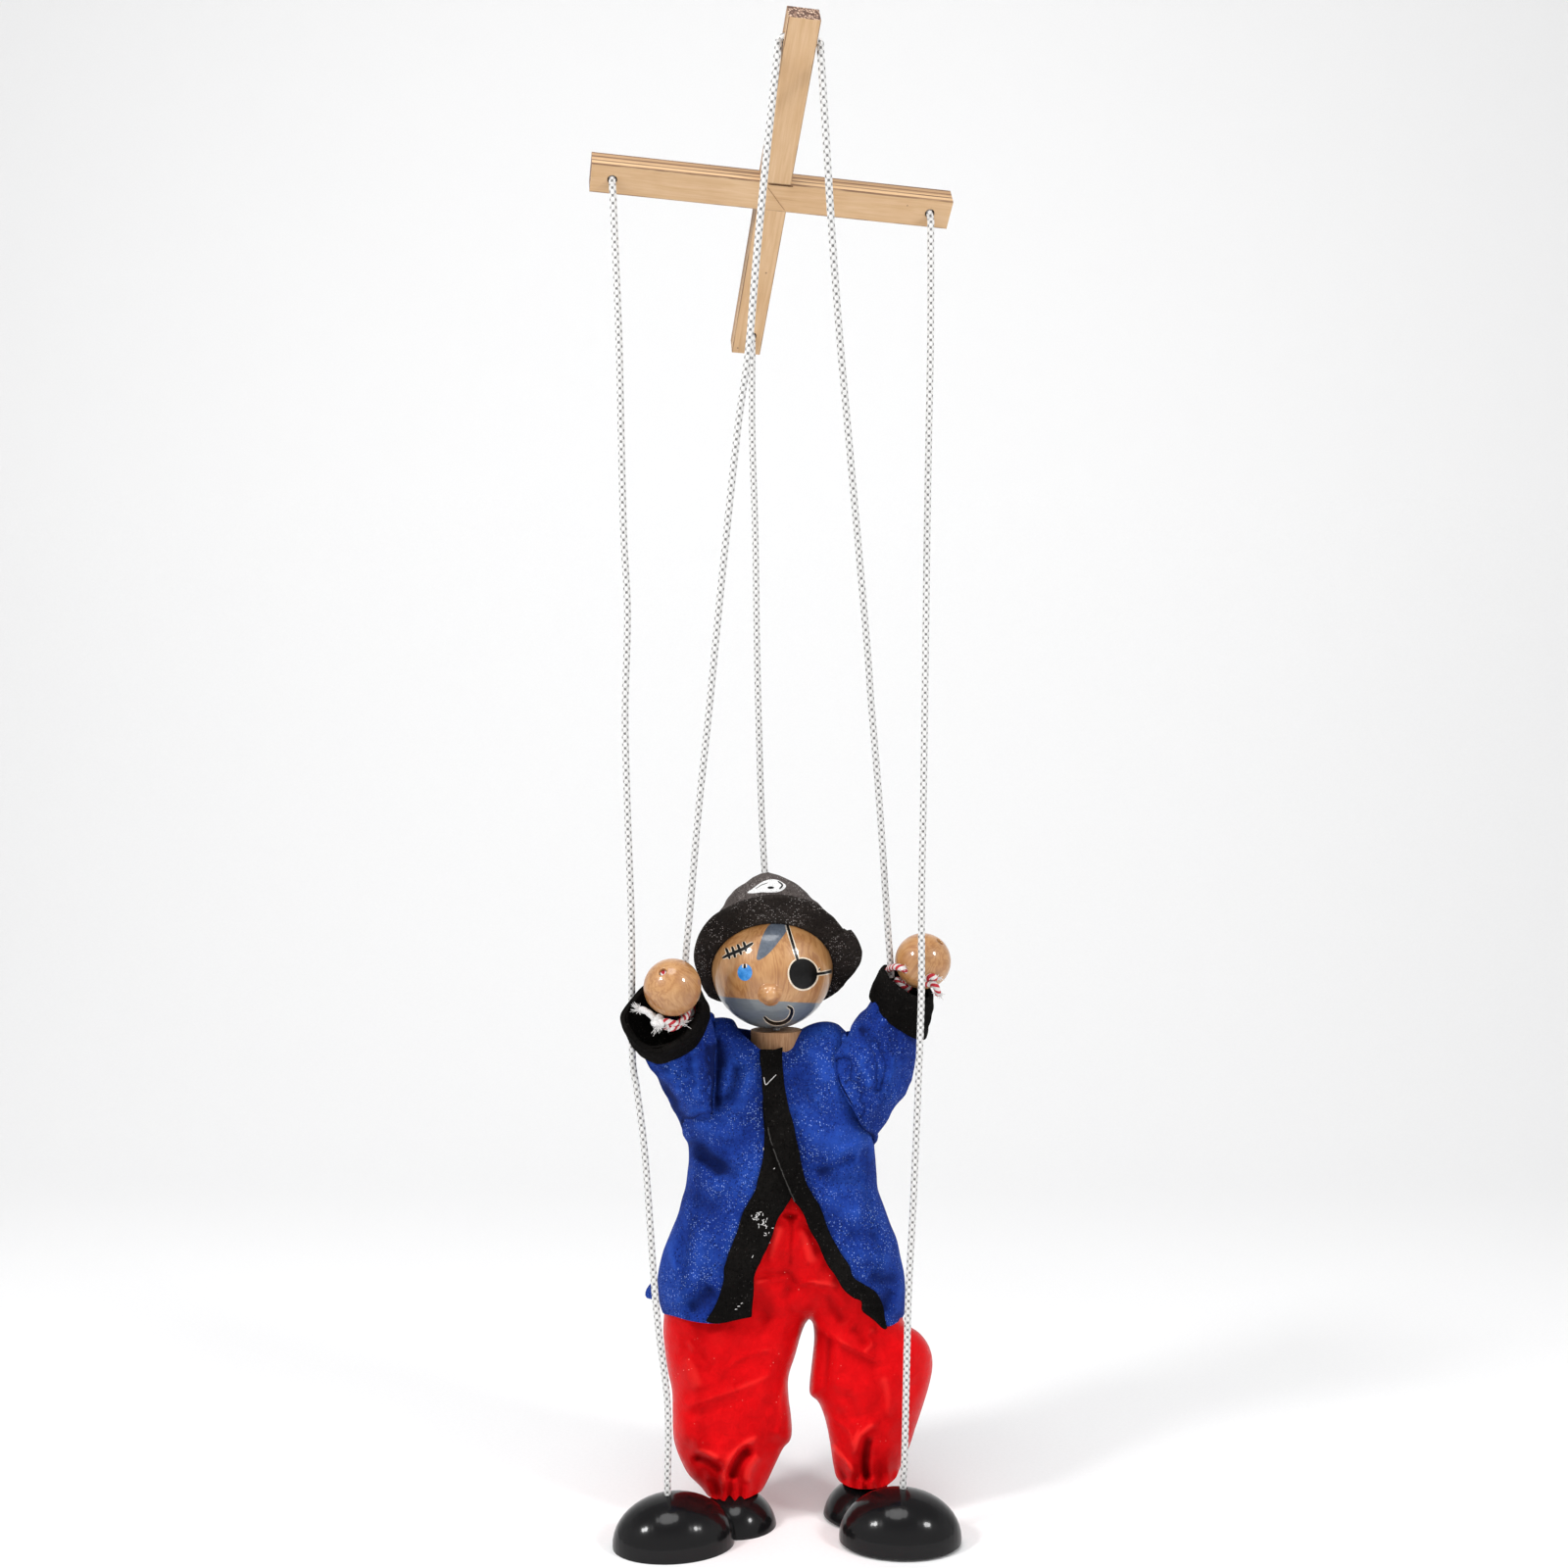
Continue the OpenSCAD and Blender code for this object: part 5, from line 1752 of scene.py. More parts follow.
JACKET_FOLDS = [
    ("line", -1.6, 3.0, [(731, 1052), (732, 1085), (731, 1112), (730, 1142)]),
    ("line", 1.3, 2.8, [(852, 1178), (866, 1172), (880, 1166), (894, 1162)]),
    ("line", -1.3, 5, [(830, 1198), (846, 1193), (860, 1186), (876, 1178)]),
    ("line", 0.9, 3, [(679, 1262), (683, 1278), (688, 1290), (692, 1302)]),
    ("line", -1.3, 8, [(704, 1172), (722, 1184), (740, 1194), (758, 1203)]),
    ("line", -1.6, 6, [(735, 1052), (736, 1080), (735, 1110), (734, 1140)]),
    ("line", -1.7, 5.5, [(753, 1084), (749, 1104), (741, 1128)]),
    ("line", 0.9, 7, [(741, 1088), (737, 1105), (733, 1122)]),
    ("line", 0.8, 9, [(764, 1088), (760, 1112), (754, 1140)]),
    ("line", -1.8, 10, [(699, 1158), (712, 1172), (728, 1188), (742, 1200)]),
    ("line", 1.0, 9, [(700, 1146), (722, 1154), (745, 1160), (765, 1158)]),
    ("line", 1.0, 11, [(706, 1186), (722, 1203), (738, 1222)]),
    ("line", -1.0, 12, [(698, 1212), (716, 1222), (736, 1240)]),
    ("line", 1.0, 4.5, [(694, 1248), (688, 1264), (685, 1280), (688, 1300)]),
    ("line", -0.8, 6, [(700, 1250), (696, 1270), (697, 1296)]),
    ("line", 0.9, 12, [(722, 1250), (714, 1280), (708, 1312)]),
    ("line", -2.0, 10, [(700, 1338), (714, 1328), (730, 1312)]),
    ("line", 0.9, 7, [(686, 1332), (700, 1318), (716, 1300)]),
    ("step", 1.5, 8, [(896, 1164), (884, 1168), (872, 1174), (860, 1183), (846, 1196)]),
    ("line", 0.9, 3.5, [(875, 1172), (873, 1184), (870, 1200)]),
    ("line", 0.9, 3.2, [(891, 1165), (890, 1176), (885, 1188)]),
    ("line", -0.9, 9, [(826, 1180), (842, 1200), (866, 1206), (888, 1200)]),
    ("line", 0.9, 12, [(838, 1215), (860, 1232), (884, 1240)]),
    ("line", -0.8, 9, [(814, 1086), (820, 1112), (838, 1138), (858, 1152)]),
    ("line", 1.2, 12, [(824, 1064), (836, 1086), (846, 1110)]),
    ("line", -1.2, 10, [(862, 1258), (882, 1262), (900, 1258)]),
    ("line", 1.1, 10, [(872, 1285), (892, 1282), (912, 1292)]),
    ("line", -1.4, 9, [(884, 1300), (902, 1306), (918, 1304)]),
    ("line", -1.6, 7, [(900, 1342), (903, 1328), (912, 1316)]),
    ("line", 1.0, 6, [(914, 1345), (917, 1325), (918, 1305)]),
    ("patch", 0.9, 22, [(843, 1162), (862, 1160)]),
]


def block_half(p, y, r=13.2):
    """Half depth of the torso block behind picture points."""
    x = at(p[:, 0], p[:, 1], y)[:, 0] - 1.0
    return np.sqrt(np.maximum(r * r - x * x, 0.0))


def front_y(p):
    d = np.min([near(p, q)[0] for q in SEALED], axis=0)
    t = np.interp(p[:, 1], FRONT_T[:, 0], FRONT_T[:, 1])
    y = 37 - t * ease(d, 44)
    soft = 0.55 * waves(p, 70, 21) + 0.30 * waves(p, 26, 22)
    y = y - (1.2 * relief(p, JACKET_FOLDS) + soft) * np.clip(d / 16, 0, 1)
    on_block = np.clip((p[:, 1] - 1084) / 10, 0, 1) * np.clip((1290 - p[:, 1]) / 10, 0, 1)
    clear = 37 - block_half(p, 24.0) - 1.9
    return y + on_block * (np.minimum(y, clear) - y) * (block_half(p, 24.0) > 0)


def back_y(p):
    d = np.min([near(p, q)[0] for q in SEALED], axis=0)
    t = np.interp(p[:, 1], BACK_T[:, 0], BACK_T[:, 1])
    hang = 1.1 * np.sin((p[:, 0] - 690) / 16.0 + 0.9) * np.clip((p[:, 1] - 1180) / 140, 0, 1)
    soft = 0.6 * waves(p, 60, 23) + hang
    y = 37 + t * ease(d, 44) + soft * np.clip(d / 18, 0, 1)
    half = block_half(p, 50.0)
    on_block = np.clip((p[:, 1] - 1056) / 8, 0, 1) * np.clip((1290 - p[:, 1]) / 10, 0, 1)
    y = y + 1.9 * np.clip((p[:, 1] - 1298) / 8, 0, 1) * np.clip((692 - p[:, 0]) / 10, 0, 1)
    return y + on_block * (np.maximum(y, 37 + half + 2.0) - y) * (half > 0)


front_left = cloth(
    "jacket_front_left",
    joined(LEFT_SIDE, HEM_L, [(740, 1346), (748, 1318), (752, 1296), (764, 1266), (778, 1232), (787, 1200), (789, 1160), (787, 1110), (780, 1074)],
           [(774.4, 1070), (766.5, 1063), (757.3, 1054.9), (752.6, 1048)], SHOULDER_SEAM_L)[:-1],
    front_y, BLUE, 1.3,
)
front_right = cloth(
    "jacket_front_right",
    joined(RIGHT_SIDE, [(919.5, 1347), (912, 1351.5), (906.5, 1352), (898, 1336), (886, 1322), (870, 1312), (858, 1296), (846, 1276), (834, 1248), (820, 1226),
                        (810, 1200), (801, 1168), (795, 1130), (791, 1090), (795, 1072)],
           [(798, 1070.5), (803.3, 1064)], SHOULDER_SEAM_R)[:-1],
    front_y, BLUE, 1.3,
)
jacket_back = cloth(
    "jacket_back",
    joined(LEFT_SIDE_BACK, [(676.5, 1340.5), (700, 1345), (735, 1346), (785, 1341), (826, 1336), (866, 1341), (900, 1347), (919.5, 1347)],
           RIGHT_SIDE[::-1], SHOULDER_SEAM_R[::-1], [(800, 1060), (790, 1056), (778, 1053), (764, 1050.5), (755, 1049)], SHOULDER_SEAM_L)[:-1],
    back_y, BLUE, 1.3, step=3.2, away=True,
)
for o in (front_left, front_right, jacket_back):
    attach(o, "torso")
    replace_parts(o, "jacket_body")
declare(0.052, 0.098, area=0.5 * area_of(front_left))
declare(0.056, 0.100, area=0.5 * area_of(front_right))
declare(0.080, 0.098, area=0.5 * area_of(jacket_back))


# the fronts already have their folds in shape; here they are kept only for the felt's painted shade and highlight
for o in (front_left, front_right):
    crease(o, JACKET_FOLDS, 1.30, lambda q: 0.25 * waves(q, 70, 21) + 0.15 * waves(q, 26, 22), move=False)


def trim_left_y(p):
    return front_y(p) - 1.0 + 0.12 * waves(p, 14, 31)


def trim_right_y(p):
    top = np.clip((1250 - p[:, 1]) / 60, 0, 1)
    return front_y(p) - 1.0 - 1.15 * top + 0.12 * waves(p, 14, 33)


trim_left = cloth("jacket_trim_left_felt", joined(TRIM_L_OUT, [(719.9, 1348.7), (732.7, 1351.2), (753, 1347), (767, 1344.3)], TRIM_L_IN,
                                                  [(797, 1071), (786, 1070.5), (776, 1070.6)])[:-1], trim_left_y, BLACK, 1.0, step=2.4)
trim_right = cloth("jacket_trim_right_felt", joined(TRIM_R_OUT, TRIM_R_IN, [(775.5, 1071), (783, 1072.5), (792, 1070), (799, 1068)])[:-1],
                   trim_right_y, BLACK, 1.0, step=2.4)
for o, side, ln in ((trim_left, "left", 0.094), (trim_right, "right", 0.100)):
    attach(o, "torso")
    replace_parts(o, "jacket_trim_" + side)
    declare(0.011, ln, area=0.5 * area_of(o))


def ring_points(place, normal, r, n, squash=1.0):
    """A ring of points, clockwise from its top as the viewer sees it."""
    normal = np.asarray(normal, float) / np.linalg.norm(normal)
    e1 = np.array([1.0, 0, 0]) - normal * normal[0]
    e1 /= np.linalg.norm(e1)
    e2 = np.array([0, 0, 1.0]) - normal * normal[2] - e1 * 0
    e2 -= e1 * (e2 @ e1)
    e2 /= np.linalg.norm(e2)
    a = np.radians(90 - 360 * np.arange(n) / n)
    return np.asarray(place, float) + r * (np.cos(a)[:, None] * e1 + squash * np.sin(a)[:, None] * e2)


def closed_curve(points, n):
    """A smooth closed curve through K points, n samples at even parameter steps, so that rings match up."""
    p = np.asarray(points, float)
    k = len(p)
    t = np.arange(n) * k / n
    i = np.floor(t).astype(int)
    f = (t - i)[:, None]
    a, b, c, d = p[(i - 1) % k], p[i % k], p[(i + 1) % k], p[(i + 2) % k]
    return 0.5 * (2 * b + (c - a) * f + (2 * a - 5 * b + 4 * c - d) * f**2 + (3 * b - a - 3 * c + d) * f**3)


def loft(name, loops, n, rows, mat, felt_mm, seed, lump=0.25, size=9.0):
    """A tube of cloth through loops of K points each."""
    L = np.array([closed_curve(q, n) for q in loops])
    m = len(L)
    ext = np.concatenate([2 * L[:1] - L[1:2], L, 2 * L[-1:] - L[-2:-1]])
    out = []
    for t in np.linspace(0, m - 1, rows):
        i = min(int(t), m - 2)
        f = t - i
        a, b, c, d = ext[i], ext[i + 1], ext[i + 2], ext[i + 3]
        out.append(0.5 * (2 * b + (c - a) * f + (2 * a - 5 * b + 4 * c - d) * f**2 + (3 * b - a - 3 * c + d) * f**3))
    G = np.array(out)
    du = np.roll(G, -1, 1) - np.roll(G, 1, 1)
    dv = np.gradient(G, axis=0)
    nrm = np.cross(du, dv)
    nrm /= np.linalg.norm(nrm, axis=2)[..., None] + 1e-9
    centre = G.mean(1, keepdims=True)
    if ((G - centre) * nrm).sum() < 0:
        nrm = -nrm
    p = (G + nrm * (lump * waves(G.reshape(-1, 3), size, seed) + 0.3 * lump * waves(G.reshape(-1, 3), size * 0.4, seed + 1)).reshape(rows, n)[..., None])
    faces = grid(rows, n, wrap_cols=True)
    q = p.reshape(-1, 3)
    f0 = faces[len(faces) // 2]
    fn = np.cross(q[f0[1]] - q[f0[0]], q[f0[2]] - q[f0[0]])
    if fn @ nrm.reshape(-1, 3)[f0[0]] < 0:
        faces = [f[::-1] for f in faces]
    o = make(name, q, faces, mat)
    if felt_mm:
        thicken(o, felt_mm)
    return o


CUFF_DIR = (-0.35, -0.75, 0.55)
K_RING = 10
A_left = at(*np.array([(690, 1006, 22), (709, 1009, 22.6), (720, 1030, 19.6), (717, 1050, 16.2), (700, 1070, 12.8), (677, 1081, 10.8),
                       (657, 1073, 9.4), (643, 1054, 8.8), (641, 1037, 8.8), (659, 1014, 12.6)]).T) + [0, 0.6, 0]
B_left = at(*np.array([(722, 1036, 37), (728.5, 1046, 29.5), (730, 1072, 24.0), (729.5, 1102, 20.9), (728.5, 1132, 19.6),
                       (720, 1147.5, 21.6), (699, 1155.5, 33), (702, 1146, 45), (710, 1105, 50), (716, 1062, 46)]).T)
M_left = 0.5 * (A_left + B_left) + np.array([[0, 0, 0]] * 3 + [[0, -1.2, 0]] * 3 + [[0.3, 0, 0.2]] + [[0, 0, 0]] * 3)
C_left = B_left + np.array([[-0.3, 0, 0], [-1.0, 1.5, 0], [-1.6, 3.0, 0], [-1.8, 3.2, 0], [-1.8, 3.4, 0.6], [0, 2.6, 1.6],
                            [0.8, 0, 1.2], [0.6, -0.8, 0.6], [0.6, -1, 0], [0.3, -1, 0]])
sleeve_left = loft("jacket_sleeve_left", [A_left, M_left, B_left, C_left], 96, 44, BLUE, 1.2, 41, 0.32, 11)
K_R = np.array([
    [(890, 1019, 30), (874, 1041, 32), (866, 1057, 33)],
    [(897, 1025, 22.8), (872, 1056, 23), (857, 1069, 25)],
    [(908, 1032, 20.8), (878, 1076, 19.4), (851.5, 1080, 22.6)],
    [(920, 1040, 20.8), (891, 1097, 18.6), (855, 1100, 20.2)],
    [(930, 1049, 22.8), (906, 1111, 20.4), (867, 1122, 19.2)],
    [(936, 1055, 27), (920, 1114, 26), (880, 1144, 20.8)],
    [(937, 1057, 32), (929.5, 1102, 33), (893, 1161, 34)],
    [(932, 1052, 38), (924, 1090, 41), (892, 1150, 45)],
    [(920, 1042, 41), (910, 1070, 46), (888, 1115, 50)],
    [(905, 1032, 40), (892, 1050, 43), (880, 1075, 47)],
    [(895, 1023, 36), (880, 1042, 38), (870, 1058, 41)],
], float)
A_right, M_right, B_right = [at(*K_R[:, i].T) for i in range(3)]
C_right = B_right + np.array([[0, 0, 0], [0.8, 1.6, 0], [1.6, 3.0, 0], [1.6, 3.2, 0], [1.2, 3.4, 0.8], [0.4, 2.8, 1.4],
                              [-0.8, 0, 1.0], [-0.8, -1, 0], [-0.6, -1, 0], [0, -1, 0], [0, 0, 0]])
sleeve_right = loft("jacket_sleeve_right", [A_right, M_right, B_right, C_right], 96, 46, BLUE, 1.2, 43, 0.38, 10)
SLEEVE_FOLDS = [
    ("line", -2.0, 3.2, [(729, 1058), (730.5, 1085), (730, 1112), (728, 1140)]),
    ("line", -1.9, 2.8, [(692, 1148), (708, 1147), (722, 1145), (734, 1141)]),
    ("line", -1.6, 5, [(853, 1072), (854, 1096), (861, 1120), (874, 1137), (891, 1148)]),
    ("line", -1.6, 5, [(721, 1062), (724, 1085), (726, 1110), (727, 1136)]),
    ("line", 1.0, 6, [(708, 1060), (711, 1090), (712, 1118), (708, 1138)]),
    ("line", -1.2, 6, [(664, 1096), (680, 1112), (690, 1128), (697, 1146)]),
    ("line", 1.0, 6, [(676, 1092), (692, 1108), (702, 1124)]),
    ("line", -1.7, 5, [(694, 1150), (708, 1143), (722, 1140), (734, 1141)]),
    ("line", 0.8, 4, [(698, 1138), (712, 1133), (724, 1131)]),
    ("line", -1.0, 5, [(670, 1100), (668, 1118), (676, 1134)]),
    ("line", -1.5, 7, [(858, 1076), (866, 1098), (874, 1120), (878, 1142)]),
    ("line", 1.1, 6, [(872, 1070), (882, 1092), (889, 1114)]),
    ("line", -1.3, 6, [(900, 1076), (899, 1096), (895, 1118)]),
    ("line", 1.0, 5, [(912, 1070), (911, 1092), (906, 1112)]),
    ("line", -1.2, 5, [(872, 1046), (884, 1056), (893, 1070), (900, 1088)]),
    ("line", -1.6, 6, [(862, 1150), (874, 1156), (886, 1160), (896, 1160)]),
    ("line", 1.0, 5, [(868, 1138), (880, 1144), (892, 1146)]),
]
crease(sleeve_left, SLEEVE_FOLDS, 1.3, lambda q: 0.45 * waves(q, 16, 71))
crease(sleeve_right, SLEEVE_FOLDS, 1.3, lambda q: 0.45 * waves(q, 16, 72))
# deepens the painted shade in the sleeves' creases and strengthens the painted highlight on their crests a little
for o in (sleeve_left, sleeve_right):
    kept = o.data.attributes["fold"].data
    tone = np.empty(len(kept), np.float32)
    kept.foreach_get("value", tone)
    kept.foreach_set("value", np.where(tone < 0, 1.6, 1.1) * tone)
for o, side in ((sleeve_left, "left"), (sleeve_right, "right")):
    s, d = SHOULDER[side], ARM[side]
    me = o.data
    co = np.empty(len(me.vertices) * 3, np.float32)
    me.vertices.foreach_get("co", co)
    co = co.reshape(-1, 3).astype(float) * 1000
    off = (co - s) - ((co - s) @ d)[:, None] * d
    r = np.linalg.norm(off, axis=1) + 1e-9
    away = np.empty(len(me.vertices) * 3, np.float32)
    me.vertices.foreach_get("normal", away)
    need = np.where((away.reshape(-1, 3) * off).sum(1) > 0, 3.0, 1.9)
    co = co + off / r[:, None] * np.maximum(need - r, 0)[:, None]
    me.vertices.foreach_set("co", (co * 0.001).astype(np.float32).ravel())
    me.update()
    a0, a1 = (s + 6 * d) * 0.001, (s + 24 * d) * 0.001
    tuple(a0)
    tuple(a1)
    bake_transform(o)
    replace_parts(o, "sleeve_" + side)
    declare(0.045, 0.090, area=0.5 * area_of(o))

CUFF_REAR = at(*np.array([(690, 1003, 22), (711, 1006, 23), (723, 1028, 20), (720, 1052, 16.5), (702, 1074, 13), (676, 1086, 10.5),
                          (654, 1077, 8.8), (639, 1055, 8), (637, 1035, 8), (657, 1011, 12)]).T)
CUFF_MOUTH = at(*np.array([(684, 993, 13.5), (704, 998, 14), (714, 1017, 10), (711, 1043, 5), (695, 1063, 1.8), (671, 1073, -0.6),
                           (650, 1067, -1.2), (636, 1049, -0.5), (634.5, 1032, 1), (653, 1009, 6)]).T)
CUFF_MID = 0.5 * (CUFF_REAR + CUFF_MOUTH)
CUFF_SWELL = 0.35 * (CUFF_MID - CUFF_MID.mean(0)) / np.linalg.norm(CUFF_MID - CUFF_MID.mean(0), axis=1)[:, None]
cuff_left = loft(
    "jacket_cuff_left",
    [CUFF_REAR, 0.62 * CUFF_REAR + 0.38 * CUFF_MOUTH + CUFF_SWELL, 0.28 * CUFF_REAR + 0.72 * CUFF_MOUTH + CUFF_SWELL, CUFF_MOUTH],
    96, 22, BLACK, 1.4, 51, 0.30, 10,
)
lining_left = loft(
    "jacket_cuff_lining_left",
    [CUFF_MOUTH.mean(0) + 0.92 * (CUFF_MOUTH - CUFF_MOUTH.mean(0)) + [0, 1.2, 0], CUFF_REAR.mean(0) + 0.84 * (CUFF_REAR - CUFF_REAR.mean(0)) + [0, -2.5, 0],
     CUFF_REAR.mean(0) + 0.52 * (CUFF_REAR - CUFF_REAR.mean(0)) + [0.4, 0.5, 0], CUFF_REAR.mean(0) + 0.14 * (CUFF_REAR - CUFF_REAR.mean(0)) + [0.8, 1.5, 0]],
    72, 20, BLACK, 0.8, 55, 0.15, 8,
)


def tilted_ring(place, long_dir, rl, rd, n, shift=0.0):
    """A ring whose long axis lies along long_dir and whose short axis runs in depth."""
    a = np.asarray(long_dir, float) / np.linalg.norm(long_dir)
    b = np.array([-0.12, -0.96, -0.2])
    b -= a * (a @ b)
    b /= np.linalg.norm(b)
    t = np.radians(180 - 360 * (np.arange(n) + shift) / n)
    # begins at the end on the viewer's left and passes the near side first
    return np.asarray(place, float) + rl * np.cos(t)[:, None] * a + rd * np.sin(t)[:, None] * b


cuff_right = loft(
    "jacket_cuff_right",
    [tilted_ring(at(916.5, 1037.5, 31), (0.80, 0, -0.60), 11.6, 11.4, 12), tilted_ring(at(920, 1025, 29.6), (0.83, 0, -0.56), 11.2, 11.2, 12),
     tilted_ring(at(924, 1012, 28), (0.86, 0, -0.51), 10.4, 10.8, 12), tilted_ring(at(926.5, 1001.5, 26.6), (0.88, 0, -0.474), 9.6, 10.3, 12)],
    96, 22, BLACK, 1.4, 53, 0.32, 9,
)
lining_right = loft(
    "jacket_cuff_lining_right",
    [tilted_ring(at(926.0, 1003.5, 26.8), (0.88, 0, -0.474), 8.5, 9.2, 12), tilted_ring(at(921.5, 1016, 28.4), (0.86, 0, -0.51), 9.0, 9.4, 12),
     tilted_ring(at(916.5, 1034, 31), (0.80, 0, -0.60), 8.6, 8.6, 12), tilted_ring(at(909, 1052, 33.4), (0.80, 0, -0.60), 6.0, 6.0, 12)],
    72, 20, BLACK, 0.8, 57, 0.15, 8,
)
for o, side in ((lining_left, "left"), (lining_right, "right")):
    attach(o, "arm_" + side)
    declare(0.024, 0.075, area=0.5 * area_of(o))
for o, side in ((cuff_left, "left"), (cuff_right, "right")):
    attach(o, "arm_" + side)
    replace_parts(o, "cuff_" + side)
    declare(0.014, 0.085, area=0.5 * area_of(o))

# ---------------------------------------------------------------- trousers

WAIST_L = [(726, 1206), (716, 1236), (703, 1262), (690, 1290), (681, 1318), (677.5, 1341.5)]
LEG_L_OUT = [(677.5, 1341.5), (676.8, 1358), (678.6, 1378), (681.6, 1399), (685.7, 1419), (686.3, 1439.5), (686.7, 1460),
             (688.8, 1474), (695, 1490.5), (703, 1505), (715, 1517), (722.4, 1526.5)]
HEM_LEG_L = [(722.4, 1526.5), (733, 1530.5), (747, 1532.5), (762, 1529), (776.5, 1522)]
LEG_L_IN = [(776.5, 1522), (781.6, 1514), (790.8, 1494.6), (799, 1478), (806, 1470), (808, 1460), (807, 1443.6), (805, 1429),
            (804, 1411), (806, 1398.7), (811, 1384), (816, 1366), (821, 1352), (825.3, 1346.2)]
LEG_R_IN = [(826.3, 1346.0), (829.3, 1350), (830.6, 1358), (830.6, 1370), (828.6, 1388.5), (826.5, 1407), (826, 1419), (827.6, 1424), (834.7, 1430),
            (840, 1441.5), (844, 1456), (847, 1472), (850, 1492.6), (853, 1506), (857, 1512)]
HEM_LEG_R = [(857, 1512), (866, 1517), (878, 1519.5), (893, 1519), (905, 1515.5), (914, 1508), (917, 1501)]
LEG_R_OUT = [(917, 1501), (923, 1488), (929.6, 1471), (933.7, 1458), (940, 1439.5), (947, 1417), (951, 1399), (951, 1384),
             (946, 1370), (938, 1360), (930.6, 1355), (922, 1349)]
WAIST_R = [(922, 1349), (918, 1325), (910, 1292), (900, 1262), (889, 1236), (880, 1206)]
SEWN = [joined(WAIST_L, LEG_L_OUT), joined(LEG_L_IN), joined(LEG_R_IN), joined(LEG_R_OUT, WAIST_R)]

SATIN_FOLDS = [
    ("line", -0.7, 2.6, [(807, 1232), (807, 1255), (806, 1278), (806, 1299)]),
    ("line", -1.2, 3.5, [(797, 1238), (806, 1241), (816, 1240)]),
    ("line", 0.8, 5, [(796, 1248), (790, 1270), (786, 1290)]),
    ("line", 0.7, 6, [(818, 1250), (824, 1272), (830, 1292)]),
    ("line", -0.8, 6, [(822, 1246), (832, 1262), (842, 1282)]),
    ("step", -0.9, 7, [(760, 1299), (776, 1297.6), (792, 1297), (805, 1296.6), (813, 1307), (834, 1311), (858, 1311)]),
    ("line", 0.7, 2.4, [(768, 1309.5), (784, 1306), (798, 1304), (808, 1303)]),
    ("line", 0.7, 2.4, [(812, 1310), (832, 1309), (856, 1312)]),
    ("step", -1.5, 9, [(812, 1334), (820, 1340.5), (829, 1347), (843, 1358), (857, 1370), (872, 1377), (890, 1386), (908, 1396)]),
    ("line", 0.8, 3.0, [(818, 1338), (828, 1346), (850, 1364.5), (868, 1375), (890, 1385), (906, 1394)]),
    ("line", -0.9, 6, [(842, 1318), (852, 1334), (862, 1352)]),
    ("line", 0.8, 3.5, [(895, 1354), (885, 1362), (889, 1372), (879, 1380)]),
    ("line", -0.7, 5, [(805, 1310), (804, 1328), (812, 1345)]),
    ("line", 0.5, 3.0, [(689, 1438.5), (721, 1428), (748, 1419), (776.5, 1407), (796, 1398)]),
    ("line", -0.5, 6, [(692, 1448), (722, 1438), (750, 1430), (776, 1420)]),
    ("line", 0.6, 7, [(700, 1380), (708, 1398), (712, 1420)]),
    ("line", 0.9, 2.8, [(778, 1463), (766, 1470), (754, 1478), (744, 1491), (738.5, 1508), (738, 1524)]),
    ("line", -2.2, 5.5, [(768, 1476), (758, 1484), (750, 1496), (746, 1512)]),
    ("line", 0.9, 5, [(776, 1482), (766, 1496), (760, 1514)]),
    ("line", -1.8, 4.5, [(706, 1486), (718, 1490), (730, 1496), (738, 1504)]),
    ("line", 0.9, 3, [(710, 1479), (722, 1483), (734, 1490)]),
    ("line", -0.8, 4, [(722, 1508), (730, 1518), (733, 1528)]),
    ("line", -2.0, 5.5, [(888, 1462), (884, 1480), (883, 1498), (888, 1514)]),
    ("line", 0.9, 3, [(896, 1451), (886, 1457), (876, 1468), (871, 1486)]),
    ("line", 1.0, 2.6, [(847, 1470), (856, 1482), (868, 1497), (874, 1508)]),
    ("line", -1.2, 4, [(850, 1490), (858, 1502), (864, 1512)]),
    ("line", -0.6, 2.6, [(847, 1360), (845, 1390), (843, 1421)]),
    ("line", 0.5, 5, [(854, 1366), (853, 1392), (850, 1420)]),
    ("line", -0.7, 7, [(862, 1420), (872, 1436), (876, 1452)]),
    ("line", 0.6, 5, [(900, 1400), (906, 1424), (904, 1450)]),
    ("line", -0.7, 9, [(708, 1376), (718, 1388), (728, 1400)]),
    ("line", 0.6, 2.6, [(699, 1364), (708, 1376), (713, 1388), (722, 1398)]),
    ("line", -0.7, 12, [(768, 1312), (778, 1332), (786, 1352)]),
    ("line", -0.7, 8, [(868, 1354), (878, 1364), (888, 1372)]),
    ("line", 0.6, 2.2, [(845, 1436), (852, 1448), (858, 1452), (867, 1462), (870, 1474), (874, 1462), (880, 1452)]),
    ("line", 0.6, 2.4, [(802, 1402), (796, 1430), (797, 1450), (790, 1474)]),
    ("line", 0.5, 2.2, [(740, 1400), (752, 1388), (772, 1380), (790, 1376)]),
    ("line", -0.5, 6, [(700, 1330), (712, 1344), (730, 1352)]),
]
AXIS_Y = np.array([(1200, 37.2), (1345, 37.2), (1440, 34.4), (1530, 31.4)])
PANTS_T = np.array([(1200, 14.3), (1268, 14.3), (1300, 13.4), (1345, 12.6), (1400, 13.0), (1450, 12.6), (1490, 10.6), (1515, 8.2), (1535, 6.6)])


